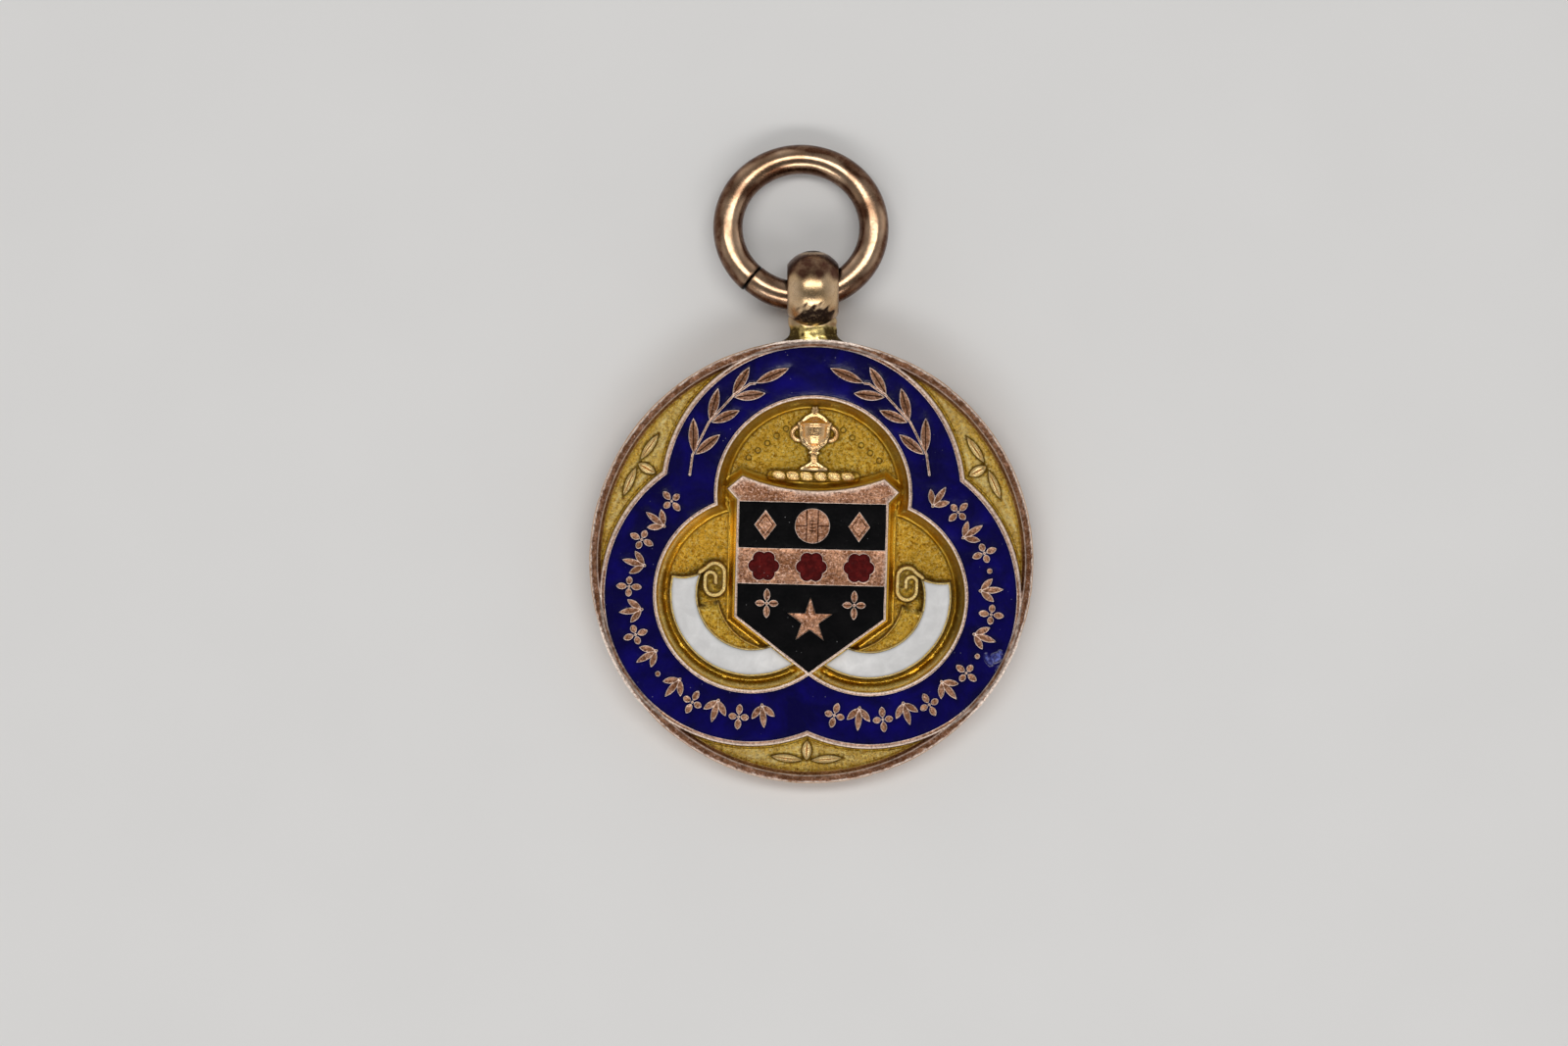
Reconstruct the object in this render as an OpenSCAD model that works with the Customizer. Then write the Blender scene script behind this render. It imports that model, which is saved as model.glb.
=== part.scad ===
// Enamelled gold football medal: a struck disc with a soldered loop, and a jump ring in the loop.
// The medal lies face up as it rests by itself: on the lower edge of its back and on its loop.
// The floor is z = 0, +Y runs from the disc to the loop, and the origin is under the middle.

/* [Disc] */
// Diameter of the disc
disc_d = 28; // [27.8:0.1:28.4]
// Thickness of the disc at its rim
disc_t = 2; // [1.95:0.05:2.2]
// Bevel along both edges of the disc
edge_bevel = 0.15; // [0.1:0.01:0.2]
// Width of the raised rim
rim_w = 0.55; // [0.5:0.01:0.6]
// Height of the rim above the wires
rim_rise = 0.1; // [0.05:0.01:0.15]
// Turn of the struck design against the loop, clockwise in degrees
design_turn = 1.4; // [0:0.1:2]

/* [Lobed band] */
// Distance from the middle of the disc to the middle of each lobe
lobe_offset = 4.27; // [4.25:0.01:4.29]
// Outer radius of each lobe of the band
band_outer_r = 9.25; // [9.2:0.01:9.3]
// Inner radius of each lobe of the band
band_inner_r = 6.26; // [6.22:0.01:6.3]
// Width of the wire outside the band
outer_wire_w = 0.31; // [0.25:0.01:0.35]
// Width of the wire inside the band
inner_wire_w = 0.16; // [0.12:0.01:0.2]
// Depth of the band's cell under the wires
band_depth = 0.5; // [0.4:0.05:0.6]

/* [Sunk grounds] */
// Depth of the three crescent grounds under the wires
crescent_depth = 0.5; // [0.4:0.05:0.6]
// Width of the slope from the rim down to a crescent ground
crescent_slope_w = 0.22; // [0.15:0.01:0.3]
// Depth of the ground behind the shield under the wires
field_depth = 0.85; // [0.7:0.05:0.9]
// Width of the sloping wall round that ground
field_slope_w = 0.65; // [0.55:0.01:0.7]

/* [Sprigs] */
// Width of a laurel leaf
leaf_w = 0.68; // [0.5:0.01:0.72]
// Width of a laurel stem
stem_w = 0.2; // [0.15:0.01:0.25]
// Place of the line between the two sprigs
sprig_axis_x = -0.12; // [-0.15:0.01:0]

/* [Band ornaments] */
// Height of an ornament across the band
ornament_h = 1.55; // [1.4:0.05:1.6]
// Width of an ornament's leaves
ornament_leaf_w = 0.4; // [0.36:0.01:0.42]
// Angle from one ornament to the next, seen from the lobe's middle
ornament_step = 11.4; // [11.2:0.1:11.6]

/* [Shield] */
// Half of the shield's width along its sides
shield_half_w = 4.76; // [4.7:0.01:4.8]
// Height of the middle of the hollow top edge above the middle of the disc
shield_top_y = 4.47; // [4.4:0.01:4.5]
// Radius of the hollow top edge
shield_top_r = 12.1; // [11.8:0.1:12.4]
// Distance of the shield's tip under the middle of the disc
shield_tip_y = 7.15; // [7.1:0.01:7.16]
// Height of the shield's face above the wires
shield_rise = 0.05; // [0.03:0.01:0.08]
// Width of the metal line round the enamel cells
shield_border = 0.16; // [0.14:0.01:0.2]
// Depth of the enamel cells in the shield
cell_depth = 0.4; // [0.3:0.05:0.5]
// Height of the bar across the shield
bar_h = 2.3; // [2.2:0.05:2.4]

/* [Ribbons] */
// Outer radius of a ribbon round the middle of its lobe
ribbon_outer_r = 5.18; // [5.1:0.01:5.2]
// Inner radius of a ribbon
ribbon_inner_r = 3.45; // [3.4:0.01:3.5]
// Height of a ribbon above its ground
ribbon_h = 0.45; // [0.4:0.05:0.5]
// Width of the metal line along a ribbon's edges
ribbon_border = 0.13; // [0.1:0.01:0.15]

/* [Crest] */
// Height of the cup above the beaded bar
cup_h = 4.15; // [4:0.05:4.2]
// Half of the length of the beaded bar
bead_bar_half = 2.6; // [2.5:0.05:2.7]

/* [Loop] */
// Distance of the loop to the right of the disc's middle
loop_x = 0.09; // [0:0.01:0.1]
// Distance from the middle of the disc to the middle of the loop
loop_y = 17.15; // [17.1:0.01:17.2]
// Outer radius of the loop
loop_r = 2.43; // [2.4:0.01:2.46]
// Radius of the hole in the loop
loop_hole_r = 1.45; // [1.43:0.01:1.48]
// Width of the loop along its hole
loop_w = 3.26; // [3.1:0.01:3.3]

/* [Jump ring] */
// Radius of the ring's wire
wire_r = 0.94; // [0.9:0.01:0.95]
// Half of the ring's width, to the middle of the wire
ring_rx = 4.61; // [4.55:0.01:4.65]
// Half of the ring's length, to the middle of the wire
ring_ry = 4.41; // [4.38:0.01:4.44]
// Depth of the worn flat under the end that lies on the floor
ring_flat = 0.03; // [0.02:0.01:0.04]
// Slide of the ring to the left in the loop
ring_slide = 0.66; // [0.6:0.01:0.7]
// Width of the saw cut where the ring is closed
seam_w = 0.07; // [0.05:0.01:0.1]

/* [Enamel] */
// Gap between the enamel and the metal round it
fit_gap = 0.03; // [0.02:0.01:0.04]
// Distance of the enamel's surface under the metal round it
enamel_low = 0.03; // [0.02:0.01:0.05]

/* [Hidden] */
$fn = 96;

// A cut runs this far past the face that it opens
past = 0.5;

// Levels above the plain back of the disc
disc_r = disc_d / 2;
wire_z = disc_t - rim_rise;
band_floor_z = wire_z - band_depth;
crescent_z = wire_z - crescent_depth;
field_z = wire_z - field_depth;
shield_z = wire_z + shield_rise;
cell_floor_z = shield_z - cell_depth;
ribbon_z = field_z + ribbon_h;
ribbon_floor_z = field_z + 0.15;

// The lobes stand at the top, lower left and lower right
LOBE_ANGLES = [90, 210, 330];
lobe_side_x = lobe_offset * cos(30);
lobe_side_y = -lobe_offset * sin(30);
band_mid_r = (band_inner_r + band_outer_r) / 2;

// One laurel leaf a row, for the left sprig: base x, base y, tip x, tip y
LEAVES = [
    [-7.29, 6.82, -7.30, 9.12],
    [-7.22, 6.75, -5.59, 8.06],
    [-6.29, 8.87, -5.73, 10.99],
    [-6.19, 8.77, -4.35, 9.56],
    [-4.85, 10.50, -3.75, 12.30],
    [-4.77, 10.36, -2.72, 10.62],
    [-3.46, 11.24, -1.24, 12.22]
];
// One bend of the left stem a row, from its foot: x, y
STEM = [[-7.53, 5.51], [-7.36, 6.75], [-6.33, 8.80], [-4.81, 10.46], [-3.75, 11.21], [-3.46, 11.24]];
stem_knot_r = 0.58 * stem_w;

// One run of band ornaments a row: lobe angle, angle of the first one, how many, first kind
ORNAMENT_RUNS = [[210, 132, 8, 0], [210, 231, 5, 1], [330, -105, 7, 0], [330, -18, 3, 1], [330, 22.5, 4, 0]];

// Pellets between the runs, one a row: lobe angle, angle
PELLETS = [[210, 221.5], [330, -27.2], [330, 13.8]];
pellet_r = 0.2;
palmette_foot_r = 0.13;

// Ornaments of the crescent grounds: the left one sits a little low
CRESCENT_ANGLES = [30, 151.8, 270];
crescent_leaf_r = 12.55;
crescent_leaf_len = 2;
crescent_leaf_w = 0.5;
crescent_bud_len = 1.25;
crescent_bud_w = 0.62;
crescent_ornament_h = 0.2;

// Shield
ear_out = [5.39, 4.51];
ear_up = [4.46, 5.32];
shoulder_y = 3.84;
shield_side_y = -3.56;
tip_slope = atan2(shield_tip_y + shield_side_y, shield_half_w);
bar_mid_y = -0.3;
bar_top_y = bar_mid_y + bar_h / 2;
bar_low_y = bar_mid_y - bar_h / 2;
upper_cell_top_y = 3.72;
foot_spread = 0.3;
foot_z = field_z + 0.5;
rosette_x = 3;
rosette_lobe_r = 0.4;
rosette_ring_r = 0.56;
ball_r = 1.12;
charge_y = (bar_top_y + upper_cell_top_y) / 2;
lozenge_x = 2.95;
lozenge_half = [0.72, 0.98];
star_r = 1.6;
star_y = -3.7;
flower_x = 2.75;
flower_y = -2.65;
flower_h = 1.9;

// Ribbons, in the lobe's own frame: the start, the end under the shield and the rolled-back fold
ribbon_start_outer = 168;
ribbon_start_inner = 157;
ribbon_end = 306;
fold_mid = [1.49, 0.22];
fold_r = 3.66;
fold_start = 195;
fold_h = 0.3;
curl_mid = [-2.37, 0.89];
curl_stretch = 0.4;
curl_r = 0.7;
curl_line_w = 0.18;
curl_core = 0.25;

// Crest
bead_bar_y = 5.39;
bead_bar_r = 0.31;
bead_r = 0.27;
bead_count = 6;
cup_foot_y = bead_bar_y + bead_bar_r;
cup_axis_z = field_z - 0.3;
cup_plate_h = 0.3;
cup_handle_r = 0.42;
cup_handle_wire_r = 0.13;
cup_handle_share = 0.57;
// One turn of the cup's outline a row, as shares of its height: radius, height
CUP = [
    [0, 0], [0.21, 0], [0.21, 0.045], [0.15, 0.08], [0.055, 0.14], [0.05, 0.25], [0.095, 0.28],
    [0.055, 0.31], [0.10, 0.345], [0.19, 0.42], [0.23, 0.54], [0.24, 0.69], [0.262, 0.705],
    [0.262, 0.735], [0.22, 0.75], [0.14, 0.84], [0.05, 0.885], [0.06, 0.93], [0.035, 0.98], [0, 1]
];

// Loop and neck
loop_edge = 0.08;
loop_crown_h = loop_r - loop_hole_r - loop_edge;
loop_crown_r = (pow(loop_w / 2, 2) + pow(loop_crown_h, 2)) / (2 * loop_crown_h);
neck_half_w = 1.48;
neck_half_t = 0.7;
neck_fillet_r = 0.5;
neck_foot_half_w = neck_half_w + neck_fillet_r;
neck_fillet_y = disc_r + neck_fillet_r - 0.2;
neck_from_y = disc_r - 0.5;
neck_to_y = loop_y - loop_hole_r - 0.12;
mid_z = disc_t / 2;

// The medal tips up on its loop until the loop and the lower back edge both meet the floor
rest_edge_y = disc_r - edge_bevel;
loop_reach = norm([loop_y + rest_edge_y, mid_z]);
rest_tilt = asin(loop_r / loop_reach) - atan2(mid_z, loop_y + rest_edge_y);
rest_lift = rest_edge_y * sin(rest_tilt);
hole_y = loop_y * cos(rest_tilt) - mid_z * sin(rest_tilt);
hole_z = loop_r;

// The ring leans from the loop's hole to the floor, and sits low and back in the hole
seat_y = -0.42;
seat_z = -0.2;
ring_near_z = hole_z + seat_z;
ring_far_z = wire_r - ring_flat;
ring_tilt = asin((ring_near_z - ring_far_z) / (2 * ring_ry));
ring_mid_y = hole_y + seat_y + ring_ry * cos(ring_tilt);
ring_mid_z = (ring_near_z + ring_far_z) / 2;
oval_shift = (ring_rx - ring_ry) / (2 - sqrt(2));
side_arc_r = ring_rx - oval_shift;
end_arc_r = ring_ry + oval_shift;
seam_angle = 230;

// Extent along Y of the medal as it lies, which puts the origin under the middle
low_y = -disc_r * cos(rest_tilt) - (disc_t - edge_bevel) * sin(rest_tilt);
high_y = ring_mid_y + ring_ry * cos(ring_tilt) + wire_r;
mid_y = (low_y + high_y) / 2;

// Places a piece of the disc as the medal lies
module as_it_lies() {
    translate([0, -mid_y, rest_lift])
        rotate([rest_tilt, 0, 0])
            children();
}

// Turns the struck design against the loop
module struck() {
    rotate([0, 0, -design_turn])
        children();
}

// Raises an outline from one level to another
module slab(from_z, to_z) {
    translate([0, 0, from_z])
        linear_extrude(to_z - from_z)
            children();
}

// Three equal circles on the lobes
module lobes(r) {
    for (a = LOBE_ANGLES)
        rotate(a)
            translate([lobe_offset, 0])
                circle(r);
}

// A pointed leaf from the origin along X, with its edges moved out by grow
module leaf(length, width, grow = 0) {
    edge_r = (pow(length, 2) + pow(width, 2)) / (4 * width);
    side = edge_r - width / 2;
    intersection() {
        translate([length / 2, side])
            circle(edge_r + grow);
        translate([length / 2, -side])
            circle(edge_r + grow);
    }
}

module lozenge(half, grow) {
    slant = norm(half);
    a = half[0] + grow * slant / half[1];
    b = half[1] + grow * slant / half[0];
    polygon([[a, 0], [0, b], [-a, 0], [0, -b]]);
}

// A star with five points, whose edges all lie the same distance from its middle
module star(r, grow) {
    inner = r * sin(18) / sin(54);
    edge_d = r * inner * sin(36) / norm([r * cos(36) - inner, r * sin(36)]);
    k = (edge_d + grow) / edge_d;
    polygon([for (i = [0 : 9]) let (d = (i % 2 == 0 ? r : inner) * k) [d * sin(36 * i), d * cos(36 * i)]]);
}

// Four leaves round a pellet
module flower(h, width, grow) {
    gap = 0.09;
    for (a = [0 : 90 : 270])
        rotate(a)
            translate([gap, 0])
                leaf((a % 180 == 0 ? 0.8 : 1) * h / 2 - gap, width, grow);
    circle(gap + 0.03 + grow);
}

// Three leaves that spread from one pellet
module palmette(h, width, grow) {
    translate([0, -h / 2]) {
        for (spread = [-42, 0, 42])
            rotate(90 - spread)
                leaf(spread == 0 ? h : 0.75 * h, width, grow);
        circle(palmette_foot_r + grow);
    }
}

module laurel(grow) {
    for (row = LEAVES) {
        run = [row[2] - row[0], row[3] - row[1]];
        translate([row[0], row[1]])
            rotate(atan2(run[1], run[0]))
                leaf(norm(run), leaf_w, grow);
    }
    for (i = [0 : len(STEM) - 2]) {
        run = STEM[i + 1] - STEM[i];
        translate(STEM[i])
            rotate(atan2(run[1], run[0]))
                translate([0, -stem_w / 2 - grow])
                    square([norm(run), stem_w + 2 * grow]);
    }
    for (bend = STEM)
        translate(bend)
            circle(stem_knot_r + grow);
}

// The two sprigs stand straight to the loop, so they are turned back
module sprigs(grow) {
    rotate(design_turn)
        translate([sprig_axis_x, 0])
            for (side = [0, 1])
                mirror([side, 0])
                    laurel(grow);
}

module in_band(lobe_angle, angle) {
    rotate(lobe_angle)
        translate([lobe_offset, 0])
            rotate(angle - lobe_angle)
                translate([band_mid_r, 0])
                    rotate(-90)
                        children();
}

module band_ornaments(grow) {
    for (run = ORNAMENT_RUNS)
        for (i = [0 : run[2] - 1])
            in_band(run[0], run[1] + i * ornament_step)
                if ((i + run[3]) % 2 == 0)
                    flower(ornament_h, ornament_leaf_w, grow);
                else
                    palmette(ornament_h * 0.9, ornament_leaf_w, grow);
    for (row = PELLETS)
        in_band(row[0], row[1])
            circle(pellet_r + grow);
}

// The blue cell, with its edges moved in by inset
module band_cell(inset) {
    difference() {
        lobes(band_outer_r - inset);
        lobes(band_inner_r + inset);
        sprigs(inset);
        band_ornaments(inset);
    }
}

module shield_outline(grow) {
    w = shield_half_w + grow;
    tip = -shield_tip_y - grow / cos(tip_slope);
    side = tip + w * tan(tip_slope);
    ear_x = ear_out[0] + grow;
    ear_top = ear_up[1] + 1.1 * grow;
    difference() {
        polygon([
            [0, tip], [w, side], [w, shoulder_y], [ear_x, ear_out[1]], [ear_up[0], ear_top],
            [-ear_up[0], ear_top], [-ear_x, ear_out[1]], [-w, shoulder_y], [-w, side]
        ]);
        translate([0, shield_top_y + shield_top_r])
            circle(shield_top_r - grow, $fn = 240);
    }
}

module upper_cell(inset) {
    w = shield_half_w - shield_border - inset;
    difference() {
        translate([-w, bar_top_y + inset])
            square([2 * w, upper_cell_top_y - bar_top_y - 2 * inset]);
        translate([0, charge_y])
            circle(ball_r + inset);
        for (side = [-1, 1])
            translate([side * lozenge_x, charge_y])
                lozenge(lozenge_half, inset);
    }
}

module lower_cell(inset) {
    edge = shield_border + inset;
    w = shield_half_w - edge;
    tip = -shield_tip_y + edge / cos(tip_slope);
    difference() {
        polygon([[-w, bar_low_y - inset], [w, bar_low_y - inset], [w, tip + w * tan(tip_slope)],
            [0, tip], [-w, tip + w * tan(tip_slope)]]);
        translate([0, star_y])
            star(star_r, inset);
        for (side = [-1, 1])
            translate([side * flower_x, flower_y])
                flower(flower_h, 1.15 * ornament_leaf_w, inset);
    }
}

// A six-lobed rosette on the bar
module rosette(place, inset) {
    translate([place * rosette_x, bar_mid_y]) {
        circle(rosette_ring_r);
        for (a = [0 : 60 : 300])
            rotate(a)
                translate([rosette_ring_r, 0])
                    circle(rosette_lobe_r - inset);
    }
}

function at(r, angle) = [r * cos(angle), r * sin(angle)];

// Everything round the middle from one line to an angle; the line runs through two points
module wedge(inner_point, outer_point, to_angle) {
    run = outer_point - inner_point;
    reach = 3 * ribbon_outer_r;
    polygon([
        [0, 0],
        inner_point - 0.5 * run,
        outer_point + 2 * run,
        at(reach, 210),
        at(reach, 260),
        at(reach, to_angle)
    ]);
}

// One side is the ribbon on the lower left, and the other its mirror image
module ribbon_side(side) {
    mirror([side, 0])
        translate([-lobe_side_x, lobe_side_y])
            children();
}

module ribbon_band(edge) {
    edge_angle = edge / ribbon_inner_r * 180 / PI;
    intersection() {
        difference() {
            circle(ribbon_outer_r - edge);
            circle(ribbon_inner_r + edge);
        }
        wedge(
            at(ribbon_inner_r, ribbon_start_inner + edge_angle),
            at(ribbon_outer_r, ribbon_start_outer + edge_angle),
            ribbon_end
        );
    }
}

// The white cell ends at the shield's slanting edge
module ribbon_cell(side, inset) {
    edge = ribbon_border + inset;
    difference() {
        ribbon_side(side)
            ribbon_band(edge);
        shield_outline(edge);
    }
}

module ribbon_fold() {
    intersection() {
        difference() {
            circle(ribbon_inner_r + ribbon_border);
            translate(fold_mid)
                circle(fold_r);
        }
        wedge(at(1, fold_start), at(2, fold_start), ribbon_end);
    }
}

// An upright round-ended bar
module upright(half_length, r) {
    translate([-r, -half_length])
        square([2 * r, 2 * half_length]);
    for (side = [-1, 1])
        translate([0, side * half_length])
            circle(r);
}

// The ribbon's end, rolled up and seen from its side
module ribbon_curl() {
    translate(curl_mid) {
        difference() {
            upright(curl_stretch, curl_r);
            upright(curl_stretch, curl_r - curl_line_w);
        }
        upright(curl_core, curl_line_w / 2);
    }
}

module ribbons() {
    for (side = [0, 1]) {
        slab(field_z - past, ribbon_z)
            ribbon_side(side)
                ribbon_band(0);
        slab(field_z - past, field_z + fold_h)
            ribbon_side(side)
                ribbon_fold();
        slab(field_z - past, ribbon_z)
            ribbon_side(side)
                ribbon_curl();
    }
}

module crescent_ornaments() {
    for (a = CRESCENT_ANGLES)
        rotate(a)
            slab(crescent_z - past, crescent_z + crescent_ornament_h) {
                translate([crescent_leaf_r - crescent_bud_len, 0])
                    leaf(crescent_bud_len, crescent_bud_w);
                for (side = [-1, 1])
                    rotate(side * 1.2)
                        translate([crescent_leaf_r, 0])
                            rotate(side * 94.5)
                                leaf(crescent_leaf_len, crescent_leaf_w);
            }
}

module beaded_bar() {
    slab(field_z - past, field_z + 0.25) {
        translate([-bead_bar_half, bead_bar_y - bead_bar_r])
            square([2 * bead_bar_half, 2 * bead_bar_r]);
        for (side = [-1, 1])
            translate([side * bead_bar_half, bead_bar_y])
                circle(bead_bar_r);
    }
    step = 2 * bead_bar_half / bead_count;
    for (i = [0 : bead_count - 1])
        translate([-bead_bar_half + (i + 0.5) * step, bead_bar_y, field_z + 0.22])
            sphere(bead_r);
}

// The cup's outline as a plate, with the round bowl standing out of it
module cup() {
    slab(field_z - past, field_z + cup_plate_h)
        translate([0, cup_foot_y])
            for (side = [0, 1])
                mirror([side, 0])
                    polygon(cup_h * CUP);
    intersection() {
        translate([0, cup_foot_y, cup_axis_z]) {
            rotate([-90, 0, 0])
                rotate_extrude()
                    polygon(cup_h * CUP);
            for (side = [-1, 1])
                translate([side * cup_h * 0.235, cup_h * cup_handle_share, field_z - cup_axis_z + 0.12])
                    rotate_extrude()
                        translate([cup_handle_r, 0])
                            circle(cup_handle_wire_r);
        }
        translate([-disc_r, 0, field_z - 0.2])
            cube([disc_d, disc_r, disc_t]);
    }
}

module shield() {
    slab(field_z - past, foot_z)
        intersection() {
            shield_outline(foot_spread);
            lobes(band_inner_r - inner_wire_w / 2);
        }
    slab(field_z - past, shield_z)
        shield_outline(0);
}

// The flat disc with bevelled edges and a raised rim, before its cells are sunk
module blank() {
    rotate_extrude($fn = 240)
        polygon([
            [0, 0], [disc_r - edge_bevel, 0], [disc_r, edge_bevel], [disc_r, disc_t - edge_bevel],
            [disc_r - edge_bevel, disc_t], [disc_r - rim_w, disc_t], [disc_r - rim_w, wire_z], [0, wire_z]
        ]);
}

// Crescent grounds between the lobed wire and the rim
module crescent_cut() {
    difference() {
        translate([0, 0, crescent_z])
            cylinder(
                h = crescent_depth + rim_rise,
                r1 = disc_r - rim_w - crescent_slope_w,
                r2 = disc_r - rim_w + 0.02,
                $fn = 240
            );
        slab(crescent_z - past, disc_t + past)
            lobes(band_outer_r + outer_wire_w);
    }
}

// The field behind the shield, with sloping walls
module field_cut() {
    slope = field_slope_w / field_depth;
    top_r = band_inner_r - inner_wire_w;
    for (a = LOBE_ANGLES)
        rotate(a)
            translate([lobe_offset, 0, field_z])
                cylinder(
                    h = field_depth + past,
                    r1 = top_r - field_slope_w,
                    r2 = top_r + slope * past
                );
}

module shield_cells() {
    slab(cell_floor_z, shield_z + past) {
        upper_cell(0);
        lower_cell(0);
        for (place = [-1, 0, 1])
            rosette(place, 0);
    }
}

module ribbon_cells() {
    for (side = [0, 1])
        slab(ribbon_floor_z, ribbon_z + past)
            ribbon_cell(side, 0);
}

// A bored loop of D-shaped wire, with its hole along X
module loop() {
    translate([loop_x, loop_y, mid_z])
        rotate([0, 90, 0])
            rotate_extrude()
                intersection() {
                    translate([loop_r - loop_crown_r, 0])
                        circle(loop_crown_r);
                    translate([loop_hole_r, -loop_w / 2])
                        square([loop_r, loop_w]);
                }
}

// The solder fills the corners under the loop, and spreads along the disc's edge in two hollow fillets
module neck() {
    slab(mid_z - neck_half_t, mid_z + neck_half_t)
        translate([loop_x, neck_from_y]) {
            translate([-neck_half_w, 0])
                square([2 * neck_half_w, neck_to_y - neck_from_y]);
            difference() {
                translate([-neck_foot_half_w, 0])
                    square([2 * neck_foot_half_w, neck_fillet_y - neck_from_y]);
                for (side = [-1, 1])
                    translate([side * neck_foot_half_w, neck_fillet_y - neck_from_y])
                        circle(neck_fillet_r);
            }
        }
}

module medal_body() {
    color("goldenrod")
        as_it_lies() {
            struck()
                difference() {
                    union() {
                        difference() {
                            blank();
                            crescent_cut();
                            slab(band_floor_z, disc_t + past)
                                band_cell(0);
                            field_cut();
                        }
                        crescent_ornaments();
                        ribbons();
                        beaded_bar();
                        cup();
                        shield();
                    }
                    shield_cells();
                    ribbon_cells();
                }
            loop();
            neck();
        }
}

// A bent arc of the ring's wire, from one angle to another about its own middle
module wire_arc(mid, r, from_angle, to_angle) {
    translate([mid[0], mid[1], 0])
        rotate([0, 0, from_angle])
            rotate_extrude(angle = to_angle - from_angle)
                translate([r, 0])
                    circle(wire_r);
}

// Four arcs that run into each other, sawn through at the seam and worn flat where they lie
module jump_ring() {
    color("peru")
        difference() {
            translate([-ring_slide, ring_mid_y - mid_y, ring_mid_z])
                rotate([-ring_tilt, 0, 0])
                    difference() {
                        union() {
                            wire_arc([oval_shift, 0], side_arc_r, -45, 45);
                            wire_arc([0, -oval_shift], end_arc_r, 45, 135);
                            wire_arc([-oval_shift, 0], side_arc_r, 135, 225);
                            wire_arc([0, oval_shift], end_arc_r, 225, 315);
                        }
                        translate([0, oval_shift, 0])
                            rotate([0, 0, seam_angle])
                                translate([end_arc_r - 2 * wire_r, -seam_w / 2, -2 * wire_r])
                                    cube([4 * wire_r, seam_w, 4 * wire_r]);
                    }
            translate([-ring_slide - ring_rx, ring_mid_y - mid_y, -wire_r])
                cube([2 * ring_rx, 2 * ring_ry, wire_r]);
        }
}

// Fills a cell with enamel, from just above its floor to just under the metal
module enamel(floor_z, top_z) {
    as_it_lies()
        struck()
            slab(floor_z + fit_gap, top_z - enamel_low)
                children();
}

module blue_enamel() {
    color("midnightblue")
        enamel(band_floor_z, wire_z)
            band_cell(fit_gap);
}

module black_enamel_upper() {
    color("black")
        enamel(cell_floor_z, shield_z)
            upper_cell(fit_gap);
}

module black_enamel_lower() {
    color("black")
        enamel(cell_floor_z, shield_z)
            lower_cell(fit_gap);
}

module red_enamel(place) {
    color("firebrick")
        enamel(cell_floor_z, shield_z)
            rosette(place, fit_gap);
}

module red_enamel_left() {
    red_enamel(-1);
}

module red_enamel_middle() {
    red_enamel(0);
}

module red_enamel_right() {
    red_enamel(1);
}

module white_enamel(side) {
    color("gainsboro")
        enamel(ribbon_floor_z, ribbon_z)
            ribbon_cell(side, fit_gap);
}

module white_enamel_left() {
    white_enamel(0);
}

module white_enamel_right() {
    white_enamel(1);
}

medal_body();
jump_ring();
blue_enamel();
black_enamel_upper();
black_enamel_lower();
red_enamel_left();
red_enamel_middle();
red_enamel_right();
white_enamel_left();
white_enamel_right();
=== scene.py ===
"""Enamelled gold football medal with its jump ring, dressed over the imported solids.

The disc's face is one relief: a height is worked out from the distance to every edge of the design,
on a mesh whose edges run along those of the design. Lengths are millimetres in the disc's own frame
(x right, y up, z out of the face, 0 on the back), and placed() turns them into the part's frame.
"""
import math
from functools import partial

import bpy
import numpy as np
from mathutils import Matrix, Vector
from mathutils.geometry import delaunay_2d_cdt


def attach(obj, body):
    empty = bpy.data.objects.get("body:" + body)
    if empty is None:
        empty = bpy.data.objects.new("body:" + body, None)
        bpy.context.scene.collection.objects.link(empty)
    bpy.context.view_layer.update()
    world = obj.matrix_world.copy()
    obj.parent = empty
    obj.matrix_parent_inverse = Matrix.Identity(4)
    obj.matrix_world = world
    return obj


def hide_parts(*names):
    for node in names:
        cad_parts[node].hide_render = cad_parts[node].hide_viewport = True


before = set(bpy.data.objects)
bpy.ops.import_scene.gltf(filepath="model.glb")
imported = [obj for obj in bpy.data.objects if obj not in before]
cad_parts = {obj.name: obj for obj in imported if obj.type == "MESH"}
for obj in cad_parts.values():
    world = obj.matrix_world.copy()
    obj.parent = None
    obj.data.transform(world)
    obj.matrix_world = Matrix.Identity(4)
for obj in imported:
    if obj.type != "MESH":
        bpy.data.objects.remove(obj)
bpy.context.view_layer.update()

MM = 0.001
REST_TILT = math.radians(2.64591)
REST_SHIFT = np.array([0.0, -6.127871, 0.639363])
DESIGN_TURN = math.radians(1.4)

# Disc and its levels
DISC_R = 14.0
RIM_Z = 2.0
RIM_W = 0.55
RIM_IN = DISC_R - RIM_W
WIRE_Z = 1.9
CRESCENT_Z = 1.4
FIELD_Z = 1.05
SHIELD_Z = 1.95
RIBBON_Z = 1.5
CELL_DEPTH = 0.2
WALL_SLOPE = 6.7

# Lobed band
LOBE_OFFSET = 4.27
LOBE_ANGLES = (90, 210, 330)
BAND_OUT = 9.25
BAND_IN = 6.26
WIRE_OUT = BAND_OUT + 0.31
WIRE_IN = BAND_IN - 0.16
BAND_MID = (BAND_OUT + BAND_IN) / 2

# Rounding of the metal's edges
SOFT = 0.09
FINE = 0.06
VEIN_END = 0.12

# Radii: foot of the rim's slope, end of the crescent grounds, the rim's flat top and its rolled edge
SLOPE_R = 13.2
GROUND_R = 13.3
TOP_R = 13.47
ROLL_R = 13.72

# How far a layer of enamel runs in under the metal's rounded edge, how low it lies, and how thick it is
UNDER = 0.025
ENAMEL_LOW = 0.03
ENAMEL_DEPTH = 0.19
RIBBON_BORDER = 0.13

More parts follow.
